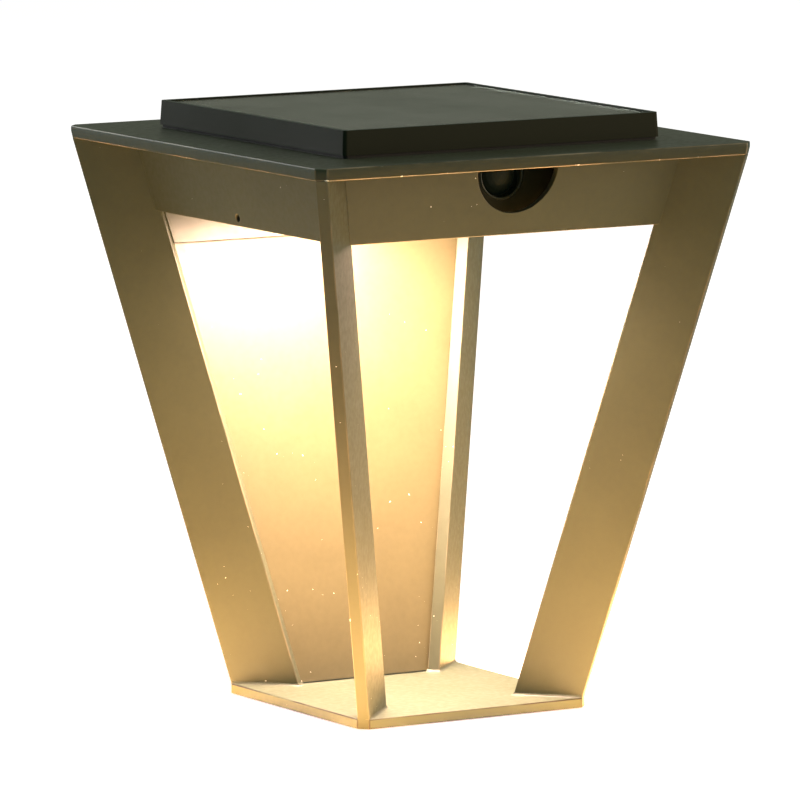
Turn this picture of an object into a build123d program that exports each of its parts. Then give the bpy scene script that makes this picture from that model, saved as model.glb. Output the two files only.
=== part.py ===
from build123d import *

import os
from math import atan, degrees, sqrt

# Solar wall light: a tapered lantern frame of painted aluminium plate, a lift-out
# solar module that sits in the frame's top, and a hook-on wall bracket.
# Millimetres. +Z is up, the wall is the plane Y = 0 and the lamp stands out towards -Y.
# The origin is the centre of the bracket's two screw holes, on the wall plane.
# Heights in this file are measured from the underside of the foot plate.

os.makedirs("parts", exist_ok=True)

# Driving dimensions of the frame
top_size = 200.0
top_thickness = 5.0
top_edge_land = 2.0
top_upper_height = 229.0
foot_size = 106.4
foot_thickness = 4.0
blade_thickness = 5.0
blade_foot_width = 28.39
blade_head_width = 28.81
edge_break = 0.4

# Head skirts and rear panel, set out from the blades' inner edges
skirt_thickness = 3.0
skirt_setback = 3.6
skirt_drop = 28.5
rear_skirt_drop = 41.7
panel_thickness = 2.0
panel_setback = 2.7
panel_foot_gap = 0.6

# Sensor window in the front skirt and locking screws in the side skirts
sensor_offset = 2.0
window_radius = 18.5
window_drop = 1.2
lock_screw_radius = 1.5
lock_screw_sink = 1.0
lock_screw_rise = 3.4
lock_screw_offset = 4.5
lock_screw_socket = 1.5
lock_screw_socket_depth = 1.6
lock_screw_tip_gap = 0.3
screw_clearance = 0.05

# Solar module housing
module_gap = 3.9
cutout_clearance = 0.8
cutout_corner = 2.0
module_recess = 2.0
housing_wall = 2.5
housing_corner = 1.2
flange_overhang = 4.7
flange_height = 9.8
flange_draft = 0.5
flange_edge_break = 0.5
flange_rim = 2.0
flange_corner = 1.5
seal_thickness = 1.2
seal_width = 2.2
seal_inset = 1.6
ceiling_thickness = 2.0

# Solar laminate in the module's top
glass_thickness = 3.0
glass_sink = 0.5
glass_clearance = 0.2
cell_thickness = 0.4
cell_columns = 6
cell_rows = 2
cell_gap = 1.2
cell_margin = 4.0
solar_board_thickness = 1.1

# Underside of the module
cover_thickness = 2.5
cover_clearance = 0.2
cover_seal_width = 1.4
cover_seal_thickness = 1.5
boss_inset = 7.5
boss_radius = 4.0
cover_screw_radius = 1.5
cover_screw_length = 10.0
cover_screw_head_radius = 2.8
cover_screw_head_height = 1.7
boss_hole_depth = 12.0
diffuser_border = 23.8
diffuser_lip = 2.2
diffuser_lip_thickness = 1.5
diffuser_recess = 0.5
diffuser_clearance = 0.2
diffuser_corner = 4.0

# Lamp parts behind the diffuser
reflector_lean = 6.0
reflector_wall = 1.2
led_board_thickness = 1.6
led_rows = 4
led_edge_gap = 12.25
led_width = 2.8
led_length = 3.5
led_height = 0.8
led_screw_inset = 5.0
led_screw_radius = 1.25
led_screw_head_radius = 2.2
led_screw_head_height = 1.4
led_screw_length = 3.0

# Carrier plate inside the module
carrier_thickness = 2.0
carrier_edge_gap = 5.5
carrier_corner_cut = 14.0
carrier_leg_radius = 3.5
carrier_leg_gap = 2.6
carrier_notch_gap = 1.0
wire_hole_radius = 4.0

# Batteries
cell_radius = 9.25
battery_length = 69.0
battery_gap = 2.0
battery_side_gap = 13.2
battery_head_gap = 1.4
holder_floor = 1.0
holder_wall = 1.5
holder_wall_height = 6.0
holder_clearance = 0.3
tab_thickness = 0.3
tab_width = 7.0

# Control board
main_board_end_gap = 10.4
main_board_depth = 38.0
main_board_thickness = 1.6
main_board_side_gap = 20.5
standoff_radius = 2.6
standoff_height = 3.4
board_screw_inset = 4.0
board_screw_radius = 1.1
board_screw_head_radius = 2.0
board_screw_head_height = 1.2
board_screw_length = 4.0
wire_radius = 0.8
wire_spacing = 4.0
plug_block_length = 6.0
plug_block_depth = 5.0
plug_block_height = 5.0
capacitor_radius = 5.0
capacitor_height = 11.0
capacitor_place = -24.0
coil_size = 9.0
coil_corner = 1.5
coil_height = 4.5
coil_place = 22.0
chip_length = 6.2
chip_width = 5.0
chip_height = 1.6
chip_spacing = 20.0
chip_shift = 6.0

# Motion sensor behind the window
sensor_drop = 5.5
sensor_rim_radius = 9.0
sensor_rim_wall = 0.95
sensor_hole_clearance = 0.05
sensor_flange_radius = 13.0
sensor_flange_thickness = 2.0
sensor_tube_depth = 6.5
sensor_tube_wall = 1.5
lens_base_radius = 8.6
lens_rise = 4.3
lens_wall = 0.8
lens_flange_thickness = 1.2
lens_clearance = 0.1
sensor_can_radius = 4.6
sensor_can_height = 3.6
sensor_board_thickness = 1.6

# Mode button
button_edge_gap = 11.4
button_radius = 5.0
button_clearance = 0.08
button_stand_out = 1.2
button_flange_radius = 6.5
button_flange_thickness = 1.0
button_stem_radius = 2.2
button_travel = 1.0
button_travel_spare = 0.3
button_board_length = 16.0
button_board_width = 14.0
button_board_thickness = 1.6
switch_size = 6.0
switch_height = 3.6
plunger_radius = 1.6
plunger_clearance = 0.08
plunger_engagement = 1.2

# Wall bracket and the hanger behind the rear panel
bracket_width = 80.0
bracket_plate = 3.0
bracket_height = 42.0
bracket_drop = 16.0
bracket_hole_rise = 10.0
bracket_hole_spacing = 56.0
bracket_hole_radius = 2.5
bracket_shelf_rise = 20.0
hook_plate = 2.5
hook_clearance = 0.5
hook_engagement = 14.0
hook_foot_gap = 1.0
hanger_width = 76.0
hanger_height = 22.0
hanger_drop = 12.0
hanger_screw_spacing = 48.0
hanger_screw_rise = 6.0
hanger_screw_radius = 2.0
hanger_screw_head_radius = 3.6
hanger_screw_head_height = 1.7

# Sizes worked out from the driving dimensions
top_lower_height = top_upper_height - top_thickness
skirt_lower_height = top_lower_height - skirt_drop
rear_skirt_lower_height = top_lower_height - rear_skirt_drop
window_height = top_lower_height - window_drop
sensor_height = top_lower_height - sensor_drop
bracket_upper_height = top_lower_height - bracket_drop
bracket_lower_height = bracket_upper_height - bracket_height
bracket_hole_height = bracket_lower_height + bracket_hole_rise
bracket_shelf_height = bracket_lower_height + bracket_shelf_rise
hanger_upper_height = top_lower_height - hanger_drop
hanger_lower_height = hanger_upper_height - hanger_height
hanger_screw_height = hanger_lower_height + hanger_screw_rise
lamp_axis_y = -top_size / 2
foot_z = -bracket_hole_height
corner_leg = blade_thickness / sqrt(2)


def corner_radius(size):
    """Distance from the axis to the cut corner face of a square plate."""
    return size / sqrt(2) - blade_thickness / 2


blade_foot_outer = corner_radius(foot_size)
blade_foot_inner = blade_foot_outer - blade_foot_width
face_slope = (top_size - foot_size) / 2 / (top_upper_height - foot_thickness)
face_angle = degrees(atan(face_slope))
top_taper_height = top_thickness - top_edge_land
blade_head_outer = corner_radius(top_size) - face_slope * top_taper_height
blade_head_inner = blade_head_outer - blade_head_width
blade_rise = top_lower_height - foot_thickness


def blade_inner_half(height):
    """Half size of the square through the blades' inner edges at a height."""
    share = (height - foot_thickness) / blade_rise
    radius = blade_foot_inner + (blade_head_inner - blade_foot_inner) * share
    return radius / sqrt(2)


def skirt_face(height):
    return blade_inner_half(height) + skirt_setback


def panel_face(height):
    return blade_inner_half(height) + panel_setback


sheet_slope = (blade_inner_half(top_lower_height) - blade_inner_half(foot_thickness)) / blade_rise
sheet_stretch = sqrt(1 + sheet_slope**2)
skirt_depth = skirt_thickness * sheet_stretch
panel_depth = panel_thickness * sheet_stretch

module_half = skirt_face(skirt_lower_height) - skirt_depth - module_gap
module_lower_height = skirt_lower_height + module_recess
inner_half = module_half - housing_wall
flange_lower_height = top_upper_height + seal_thickness
flange_half = module_half + flange_overhang
module_upper_height = flange_lower_height + flange_height
flange_top_half = flange_half - flange_draft
recess_half = flange_top_half - flange_rim
solar_stack = glass_thickness + cell_thickness + solar_board_thickness
solar_floor_height = module_upper_height - glass_sink - solar_stack
ceiling_height = solar_floor_height - ceiling_thickness
cover_upper_height = module_lower_height + cover_thickness
cover_half = inner_half - cover_clearance
diffuser_half = inner_half - diffuser_border
diffuser_size = 2 * diffuser_half
diffuser_lip_half = diffuser_half + diffuser_lip
reflector_lower_height = cover_upper_height + diffuser_lip_thickness
reflector_top_size = 2 * (diffuser_lip_half - reflector_lean)
battery_axis_height = ceiling_height - battery_head_gap - cell_radius
battery_pitch = 2 * cell_radius + battery_gap
holder_inner_length = battery_length + 2 * tab_thickness + 2 * holder_clearance
holder_inner_depth = battery_pitch + 2 * cell_radius + 2 * holder_clearance
battery_row_offset = inner_half - battery_side_gap - holder_wall - holder_inner_depth / 2
carrier_upper = battery_axis_height - cell_radius - holder_floor
carrier_lower = carrier_upper - carrier_thickness
carrier_half = inner_half - carrier_edge_gap
led_board_lower = carrier_lower - led_board_thickness
led_board_size = reflector_top_size
led_spacing = (led_board_size - 2 * led_edge_gap - led_length) / (led_rows - 1)
boss_place = inner_half - boss_inset
leg_place = diffuser_lip_half + carrier_leg_gap + carrier_leg_radius
board_lower = carrier_upper + standoff_height
board_upper = board_lower + main_board_thickness
battery_wire_x = battery_length / 2 + tab_thickness + wire_radius
main_board_length = 2 * (battery_wire_x + main_board_end_gap)
main_board_offset = main_board_side_gap + main_board_depth / 2 - inner_half
button_offset = cover_half - button_edge_gap
hook_lip_top = bracket_shelf_height + hook_plate + hook_foot_gap + hook_engagement
button_flange_top = cover_upper_height + button_flange_thickness
switch_lower = carrier_lower - button_board_thickness - switch_height
sensor_flange_back = -inner_half + sensor_flange_thickness
sensor_tube_back = sensor_flange_back + sensor_tube_depth
sensor_rear = sensor_tube_back + sensor_board_thickness
stem_top = switch_lower - button_travel - button_travel_spare


def level(height):
    """Horizontal plane on the lamp's axis."""
    return Plane(origin=(0, lamp_axis_y, foot_z + height), x_dir=(1, 0, 0), z_dir=(0, 0, 1))


def level_down(height):
    """The same plane, facing down."""
    return Plane(origin=(0, lamp_axis_y, foot_z + height), x_dir=(1, 0, 0), z_dir=(0, 0, -1))


def outward(turn):
    """Direction out of one side: 0 is the front, 90 the right, 180 the rear, 270 the left."""
    return Vector(0, -1, 0).rotate(Axis.Z, turn)


def upright(turn, offset=0.0):
    """Vertical section plane of one side: local X points outwards and local Y is the height."""
    direction = outward(turn)
    side = direction.cross(Vector(0, 0, 1))
    return Plane(origin=level(0).origin + side * offset, x_dir=direction, z_dir=side)


def facing(turn, distance, height):
    """Plane parallel to one side at a distance from the axis, looking outwards."""
    direction = outward(turn)
    origin = level(height).origin + direction * distance
    return Plane(origin=origin, x_dir=Vector(0, 0, 1).cross(direction), z_dir=direction)


def sheet_plane(turn, distance, height):
    """Plane on a leaning sheet's face, looking outwards square to the sheet."""
    direction = outward(turn)
    normal = direction - Vector(0, 0, sheet_slope)
    origin = level(height).origin + direction * distance
    return Plane(origin=origin, x_dir=Vector(0, 0, 1).cross(direction), z_dir=normal)


# Top plate: a square ring with cut corners and edges that lean in below a short land
def square_with_cut_corners(size):
    Rectangle(size, size)
    chamfer(vertices(), corner_leg)


with BuildPart() as top_plate:
    with BuildSketch(level_down(top_upper_height)):
        square_with_cut_corners(top_size)
    extrude(amount=top_edge_land)
    with BuildSketch(level_down(top_upper_height - top_edge_land)):
        square_with_cut_corners(top_size)
    extrude(amount=top_taper_height, taper=face_angle)
    with BuildSketch(level_down(top_upper_height)):
        RectangleRounded(
            2 * (module_half + cutout_clearance), 2 * (module_half + cutout_clearance), cutout_corner
        )
    extrude(amount=top_thickness, mode=Mode.SUBTRACT)
    outer_edges = top_plate.edges().filter_by(Axis.Z, reverse=True).group_by(Axis.Z)[-1]
    chamfer(outer_edges.sort_by(Edge.length)[-4:], edge_break)
top_plate.part.label = "top_plate"
export_step(top_plate.part, "parts/top_plate.step")

# Foot plate
with BuildPart() as base_plate:
    with BuildSketch(level(0)):
        square_with_cut_corners(foot_size)
    extrude(amount=foot_thickness)
base_plate.part.label = "base_plate"
export_step(base_plate.part, "parts/base_plate.step")


# Blades: four upright plates on the diagonals, between the foot and the top plate
def make_blade(turn):
    direction = outward(turn)
    diagonal = Plane(
        origin=level(0).origin, x_dir=direction, z_dir=direction.cross(Vector(0, 0, 1))
    )
    with BuildPart() as blade:
        with BuildSketch(diagonal):
            with BuildLine():
                Polyline(
                    (blade_foot_outer, foot_thickness),
                    (blade_head_outer, top_lower_height),
                    (blade_head_inner, top_lower_height),
                    (blade_foot_inner, foot_thickness),
                    close=True,
                )
            make_face()
        extrude(amount=blade_thickness / 2, both=True)
        long_edges = blade.edges().filter_by(lambda edge: edge.length > blade_rise)
        chamfer(long_edges, edge_break)
    return blade


for corner, turn in {"front_right": 45, "rear_right": 135, "rear_left": 225, "front_left": 315}.items():
    blade = make_blade(turn)
    blade.part.label = f"blade_{corner}"
    export_step(blade.part, f"parts/blade_{corner}.step")


# Leaning sheets between two blades. The section is drawn on the side's upright plane and
# cut to length by a wedge whose sides are the blades' faces.
def lean_sheet(turn, low, high, near_face, depth):
    reach = top_size
    diagonal_gap = blade_thickness / sqrt(2)
    with BuildPart() as sheet:
        with BuildSketch(upright(turn)):
            with BuildLine():
                Polyline(
                    (near_face(low), low),
                    (near_face(low) + depth, low),
                    (near_face(high) + depth, high),
                    (near_face(high), high),
                    close=True,
                )
            make_face()
        extrude(amount=reach, both=True)
        wedge_plane = Plane(
            origin=level(low).origin, x_dir=outward(turn), z_dir=(0, 0, 1)
        )
        with BuildSketch(wedge_plane):
            with BuildLine():
                Polyline(
                    (diagonal_gap, 0),
                    (diagonal_gap + reach, -reach),
                    (diagonal_gap + reach, reach),
                    close=True,
                )
            make_face()
        extrude(amount=high - low, mode=Mode.INTERSECT)
    return sheet


def skirt_inner_face(height):
    return skirt_face(height) - skirt_depth


def rear_skirt_inner_face(height):
    return panel_face(height) - skirt_depth


# Front skirt with the half-round sensor window
with BuildPart() as skirt_front:
    add(lean_sheet(0, skirt_lower_height, top_lower_height, skirt_inner_face, skirt_depth).part)
    with BuildSketch(facing(0, 0, window_height)):
        with Locations((sensor_offset, 0)):
            Circle(window_radius)
    extrude(amount=top_size, mode=Mode.SUBTRACT)
skirt_front.part.label = "skirt_front"
export_step(skirt_front.part, "parts/skirt_front.step")

lock_screw_height = skirt_lower_height + lock_screw_rise
lock_screw_outer = skirt_face(lock_screw_height) - lock_screw_sink


# Side skirts, each with a threaded hole for a locking screw.
# The screws stand a little behind the middle, on both sides alike.
def make_side_skirt(turn, toward_rear):
    with BuildPart() as skirt:
        add(lean_sheet(turn, skirt_lower_height, top_lower_height, skirt_inner_face, skirt_depth).part)
        with BuildSketch(facing(turn, 0, lock_screw_height)):
            with Locations((toward_rear * lock_screw_offset, 0)):
                Circle(lock_screw_radius + screw_clearance)
        extrude(amount=top_size, mode=Mode.SUBTRACT)
    return skirt


skirt_right = make_side_skirt(90, 1)
skirt_right.part.label = "skirt_right"
export_step(skirt_right.part, "parts/skirt_right.step")

skirt_left = make_side_skirt(270, -1)
skirt_left.part.label = "skirt_left"
export_step(skirt_left.part, "parts/skirt_left.step")

# Locking screws: socket set screws that bear on the module's side walls
with BuildPart() as locking_grub_screws:
    for turn, toward_rear in ((90, 1), (270, -1)):
        with BuildSketch(facing(turn, lock_screw_outer, lock_screw_height)):
            with Locations((toward_rear * lock_screw_offset, 0)):
                Circle(lock_screw_radius)
        extrude(amount=-(lock_screw_outer - module_half - lock_screw_tip_gap))
        with BuildSketch(facing(turn, lock_screw_outer, lock_screw_height)):
            with Locations((toward_rear * lock_screw_offset, 0)):
                RegularPolygon(lock_screw_socket / 2, 6, major_radius=False)
        extrude(amount=-lock_screw_socket_depth, mode=Mode.SUBTRACT)
locking_grub_screws.part.label = "locking_grub_screws"
export_step(locking_grub_screws.part, "parts/locking_grub_screws.step")

# Rear panel from just above the foot to the top plate, and the rear skirt in front of it.
# Two screws, driven from inside the head, go through the rear skirt and the panel into the
# hanger behind them. They stand square to the leaning sheets.
fixing_plane = sheet_plane(180, rear_skirt_inner_face(hanger_screw_height), hanger_screw_height)
hanger_screw_hole = hanger_screw_radius + screw_clearance
hanger_screw_length = skirt_thickness + panel_thickness + hook_plate


def hanger_screw_circles(radius):
    with Locations((-hanger_screw_spacing / 2, 0), (hanger_screw_spacing / 2, 0)):
        Circle(radius)


with BuildPart() as back_panel:
    add(lean_sheet(180, foot_thickness + panel_foot_gap, top_lower_height, panel_face, panel_depth).part)
    with BuildSketch(fixing_plane):
        hanger_screw_circles(hanger_screw_hole)
    extrude(amount=hanger_screw_length, mode=Mode.SUBTRACT)
back_panel.part.label = "back_panel"
export_step(back_panel.part, "parts/back_panel.step")

with BuildPart() as skirt_rear:
    add(
        lean_sheet(
            180, rear_skirt_lower_height, top_lower_height, rear_skirt_inner_face, skirt_depth
        ).part
    )
    with BuildSketch(fixing_plane):
        hanger_screw_circles(hanger_screw_hole)
    extrude(amount=hanger_screw_length, mode=Mode.SUBTRACT)
    with BuildSketch(fixing_plane):
        hanger_screw_circles(hanger_screw_head_radius + screw_clearance)
    extrude(amount=hanger_screw_head_height, mode=Mode.SUBTRACT)
skirt_rear.part.label = "skirt_rear"
export_step(skirt_rear.part, "parts/skirt_rear.step")


# Hanger: a bent plate screwed to the rear panel, with a lip that hooks down into the bracket
def panel_rear(height):
    return panel_face(height) + panel_depth


wall_distance = top_size / 2
hook_outer = wall_distance - bracket_plate - hook_clearance
hook_inner = hook_outer - hook_plate
hook_depth = hook_plate * sheet_stretch
hook_underside = hook_lip_top

with BuildPart() as hanger_plate:
    with BuildSketch(upright(180)):
        with BuildLine():
            Polyline(
                (panel_rear(hanger_lower_height), hanger_lower_height),
                (panel_rear(hanger_upper_height), hanger_upper_height),
                (panel_rear(hanger_upper_height) + hook_depth, hanger_upper_height),
                (panel_rear(hook_underside + hook_plate) + hook_depth, hook_underside + hook_plate),
                (hook_outer, hook_underside + hook_plate),
                (hook_outer, hook_underside - hook_engagement),
                (hook_inner, hook_underside - hook_engagement),
                (hook_inner, hook_underside),
                (panel_rear(hook_underside) + hook_depth, hook_underside),
                (panel_rear(hanger_lower_height) + hook_depth, hanger_lower_height),
                close=True,
            )
        make_face()
    extrude(amount=hanger_width / 2, both=True)
    with BuildSketch(fixing_plane):
        hanger_screw_circles(hanger_screw_hole)
    extrude(amount=hanger_screw_length + hook_clearance, mode=Mode.SUBTRACT)
hanger_plate.part.label = "hanger_plate"
export_step(hanger_plate.part, "parts/hanger_plate.step")

with BuildPart() as hanger_screws:
    with BuildSketch(fixing_plane):
        hanger_screw_circles(hanger_screw_head_radius)
    extrude(amount=hanger_screw_head_height)
    with BuildSketch(fixing_plane):
        hanger_screw_circles(hanger_screw_radius)
    extrude(amount=hanger_screw_length)
hanger_screws.part.label = "hanger_screws"
export_step(hanger_screws.part, "parts/hanger_screws.step")

# Wall bracket: screwed to the wall, with a shelf and an upturned lip
bracket_lip_outer = hook_inner - hook_clearance
bracket_lip_inner = bracket_lip_outer - hook_plate
with BuildPart() as wall_bracket:
    with BuildSketch(upright(180)):
        with BuildLine():
            Polyline(
                (wall_distance, bracket_lower_height),
                (wall_distance, bracket_upper_height),
                (wall_distance - bracket_plate, bracket_upper_height),
                (wall_distance - bracket_plate, bracket_shelf_height + hook_plate),
                (bracket_lip_outer, bracket_shelf_height + hook_plate),
                (bracket_lip_outer, hook_lip_top),
                (bracket_lip_inner, hook_lip_top),
                (bracket_lip_inner, bracket_shelf_height),
                (wall_distance - bracket_plate, bracket_shelf_height),
                (wall_distance - bracket_plate, bracket_lower_height),
                close=True,
            )
        make_face()
    extrude(amount=bracket_width / 2, both=True)
    with BuildSketch(facing(180, wall_distance, bracket_hole_height)):
        with Locations((-bracket_hole_spacing / 2, 0), (bracket_hole_spacing / 2, 0)):
            Circle(bracket_hole_radius)
    extrude(amount=-bracket_plate, mode=Mode.SUBTRACT)
wall_bracket.part.label = "wall_bracket"
export_step(wall_bracket.part, "parts/wall_bracket.step")

# Module housing: a square tub, open below, with a drafted flange that rests on the top plate
body_height = ceiling_height - module_lower_height
sensor_hole_radius = sensor_rim_radius + sensor_rim_wall + sensor_hole_clearance
with BuildPart() as module_housing:
    with BuildSketch(level(module_lower_height)):
        RectangleRounded(2 * module_half, 2 * module_half, housing_corner)
    extrude(amount=flange_lower_height - module_lower_height)
    with BuildSketch(level(flange_lower_height)):
        RectangleRounded(2 * flange_half, 2 * flange_half, flange_corner)
    extrude(amount=flange_height, taper=degrees(atan(flange_draft / flange_height)))
    chamfer(module_housing.faces().sort_by(Axis.Z)[-1].edges(), flange_edge_break)
    with BuildSketch(level(module_lower_height)):
        Rectangle(2 * inner_half, 2 * inner_half)
    extrude(amount=body_height, mode=Mode.SUBTRACT)
    with BuildSketch(level_down(module_upper_height)):
        Rectangle(2 * recess_half, 2 * recess_half)
    extrude(amount=glass_sink + solar_stack, mode=Mode.SUBTRACT)
    with BuildSketch(level(cover_upper_height)):
        with GridLocations(2 * boss_place, 2 * boss_place, 2, 2):
            Circle(boss_radius)
    extrude(amount=ceiling_height - cover_upper_height)
    with BuildSketch(level(cover_upper_height)):
        with GridLocations(2 * boss_place, 2 * boss_place, 2, 2):
            Circle(cover_screw_radius + screw_clearance)
    extrude(amount=boss_hole_depth, mode=Mode.SUBTRACT)
    with BuildSketch(facing(0, inner_half - housing_wall, sensor_height)):
        with Locations((sensor_offset, 0)):
            Circle(sensor_hole_radius)
    extrude(amount=2 * housing_wall, mode=Mode.SUBTRACT)
    with BuildSketch(level(ceiling_height)):
        with Locations((0, main_board_offset)):
            Circle(wire_hole_radius)
    extrude(amount=ceiling_thickness, mode=Mode.SUBTRACT)
module_housing.part.label = "module_housing"
export_step(module_housing.part, "parts/module_housing.step")

# Seal between the flange and the top plate
with BuildPart() as module_seal:
    with BuildSketch(level(top_upper_height)):
        seal_outer = 2 * (flange_half - seal_inset + cutout_clearance)
        RectangleRounded(seal_outer, seal_outer, flange_corner)
        seal_inner = seal_outer - 2 * seal_width
        RectangleRounded(seal_inner, seal_inner, housing_corner, mode=Mode.SUBTRACT)
    extrude(amount=seal_thickness)
module_seal.part.label = "module_seal"
export_step(module_seal.part, "parts/module_seal.step")

# Solar laminate: board, cells and cover glass, stacked in the housing's recess
laminate_size = 2 * (recess_half - glass_clearance)
with BuildPart() as solar_board:
    with BuildSketch(level(solar_floor_height)):
        Rectangle(laminate_size, laminate_size)
    extrude(amount=solar_board_thickness)
solar_board.part.label = "solar_board"
export_step(solar_board.part, "parts/solar_board.step")

cell_field = laminate_size - 2 * cell_margin
cell_width = (cell_field - (cell_columns - 1) * cell_gap) / cell_columns
cell_depth = (cell_field - (cell_rows - 1) * cell_gap) / cell_rows
with BuildPart() as solar_cells:
    with BuildSketch(level(solar_floor_height + solar_board_thickness)):
        with GridLocations(cell_width + cell_gap, cell_depth + cell_gap, cell_columns, cell_rows):
            Rectangle(cell_width, cell_depth)
    extrude(amount=cell_thickness)
solar_cells.part.label = "solar_cells"
export_step(solar_cells.part, "parts/solar_cells.step")

with BuildPart() as solar_glass:
    with BuildSketch(level(solar_floor_height + solar_board_thickness + cell_thickness)):
        Rectangle(laminate_size, laminate_size)
    extrude(amount=glass_thickness)
solar_glass.part.label = "solar_glass"
export_step(solar_glass.part, "parts/solar_glass.step")

# Bottom cover with the lamp opening and the button hole
lamp_opening = diffuser_size + 2 * diffuser_clearance
with BuildPart() as bottom_cover:
    with BuildSketch(level(module_lower_height)):
        Rectangle(2 * cover_half, 2 * cover_half)
        RectangleRounded(lamp_opening, lamp_opening, diffuser_corner, mode=Mode.SUBTRACT)
        with Locations((button_offset, 0)):
            Circle(button_radius + button_clearance, mode=Mode.SUBTRACT)
        with GridLocations(2 * boss_place, 2 * boss_place, 2, 2):
            Circle(cover_screw_radius + screw_clearance, mode=Mode.SUBTRACT)
    extrude(amount=cover_thickness)
    with BuildSketch(level(module_lower_height)):
        with GridLocations(2 * boss_place, 2 * boss_place, 2, 2):
            Circle(cover_screw_head_radius + screw_clearance)
    extrude(amount=cover_screw_head_height, mode=Mode.SUBTRACT)
bottom_cover.part.label = "bottom_cover"
export_step(bottom_cover.part, "parts/bottom_cover.step")

with BuildPart() as cover_screws:
    with BuildSketch(level(module_lower_height)):
        with GridLocations(2 * boss_place, 2 * boss_place, 2, 2):
            Circle(cover_screw_head_radius)
    extrude(amount=cover_screw_head_height)
    with BuildSketch(level(module_lower_height + cover_screw_head_height)):
        with GridLocations(2 * boss_place, 2 * boss_place, 2, 2):
            Circle(cover_screw_radius)
    extrude(amount=cover_screw_length)
cover_screws.part.label = "cover_screws"
export_step(cover_screws.part, "parts/cover_screws.step")

with BuildPart() as cover_seal:
    with BuildSketch(level(cover_upper_height)):
        Rectangle(2 * inner_half, 2 * inner_half)
        seal_hole = 2 * (inner_half - cover_seal_width)
        Rectangle(seal_hole, seal_hole, mode=Mode.SUBTRACT)
    extrude(amount=cover_seal_thickness)
cover_seal.part.label = "cover_seal"
export_step(cover_seal.part, "parts/cover_seal.step")

# Opal diffuser, its lip resting on the cover
with BuildPart() as diffuser:
    with BuildSketch(level(module_lower_height + diffuser_recess)):
        RectangleRounded(diffuser_size, diffuser_size, diffuser_corner)
    extrude(amount=cover_thickness - diffuser_recess)
    with BuildSketch(level(cover_upper_height)):
        RectangleRounded(2 * diffuser_lip_half, 2 * diffuser_lip_half, diffuser_corner)
    extrude(amount=diffuser_lip_thickness)
diffuser.part.label = "diffuser"
export_step(diffuser.part, "parts/diffuser.step")

# Reflector: a white square funnel between the diffuser and the lamp board
with BuildPart() as reflector:
    with BuildSketch(level(reflector_lower_height)):
        Rectangle(2 * diffuser_lip_half, 2 * diffuser_lip_half)
    with BuildSketch(level(led_board_lower)):
        Rectangle(reflector_top_size, reflector_top_size)
    loft(ruled=True)
    with BuildSketch(level(reflector_lower_height)):
        Rectangle(2 * (diffuser_lip_half - reflector_wall), 2 * (diffuser_lip_half - reflector_wall))
    with BuildSketch(level(led_board_lower)):
        Rectangle(reflector_top_size - 2 * reflector_wall, reflector_top_size - 2 * reflector_wall)
    loft(ruled=True, mode=Mode.SUBTRACT)
reflector.part.label = "reflector"
export_step(reflector.part, "parts/reflector.step")

# Lamp board with its light-emitting diodes facing down
led_screw_place = led_board_size / 2 - led_screw_inset
with BuildPart() as led_board:
    with BuildSketch(level(led_board_lower)):
        Rectangle(led_board_size, led_board_size)
        with GridLocations(2 * led_screw_place, 2 * led_screw_place, 2, 2):
            Circle(led_screw_radius + screw_clearance, mode=Mode.SUBTRACT)
    extrude(amount=led_board_thickness)
led_board.part.label = "led_board"
export_step(led_board.part, "parts/led_board.step")

with BuildPart() as leds:
    with BuildSketch(level_down(led_board_lower)):
        with GridLocations(led_spacing, led_spacing, led_rows, led_rows):
            Rectangle(led_length, led_width)
    extrude(amount=led_height)
leds.part.label = "leds"
export_step(leds.part, "parts/leds.step")

with BuildPart() as led_board_screws:
    with BuildSketch(level_down(led_board_lower)):
        with GridLocations(2 * led_screw_place, 2 * led_screw_place, 2, 2):
            Circle(led_screw_head_radius)
    extrude(amount=led_screw_head_height)
    with BuildSketch(level(led_board_lower)):
        with GridLocations(2 * led_screw_place, 2 * led_screw_place, 2, 2):
            Circle(led_screw_radius)
    extrude(amount=led_screw_length)
led_board_screws.part.label = "led_board_screws"
export_step(led_board_screws.part, "parts/led_board_screws.step")

# Carrier: a plate on four legs that holds the boards and the batteries
board_screw_x = main_board_length / 2 - board_screw_inset
board_screw_y = main_board_depth / 2 - board_screw_inset
notch_width = 2 * (sensor_flange_radius + carrier_notch_gap)
notch_depth = carrier_half + sensor_rear + carrier_notch_gap
with BuildPart() as carrier:
    with BuildSketch(level(carrier_lower)):
        Rectangle(2 * carrier_half, 2 * carrier_half)
        chamfer(vertices(), carrier_corner_cut)
        with Locations((sensor_offset, -carrier_half)):
            Rectangle(notch_width, 2 * notch_depth, mode=Mode.SUBTRACT)
        with Locations((0, main_board_offset)):
            Circle(wire_hole_radius, mode=Mode.SUBTRACT)
        with GridLocations(2 * led_screw_place, 2 * led_screw_place, 2, 2):
            Circle(led_screw_radius + screw_clearance, mode=Mode.SUBTRACT)
    extrude(amount=carrier_thickness)
    with BuildSketch(level_down(carrier_lower)):
        with GridLocations(2 * leg_place, 2 * leg_place, 2, 2):
            Circle(carrier_leg_radius)
    extrude(amount=carrier_lower - cover_upper_height)
    with BuildSketch(level(carrier_upper)):
        with Locations((0, main_board_offset)):
            with GridLocations(2 * board_screw_x, 2 * board_screw_y, 2, 2):
                Circle(standoff_radius)
    extrude(amount=standoff_height)
    with BuildSketch(level(board_lower)):
        with Locations((0, main_board_offset)):
            with GridLocations(2 * board_screw_x, 2 * board_screw_y, 2, 2):
                Circle(board_screw_radius + screw_clearance)
    extrude(amount=-(board_screw_length - main_board_thickness + screw_clearance), mode=Mode.SUBTRACT)
carrier.part.label = "carrier"
export_step(carrier.part, "parts/carrier.step")

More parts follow.
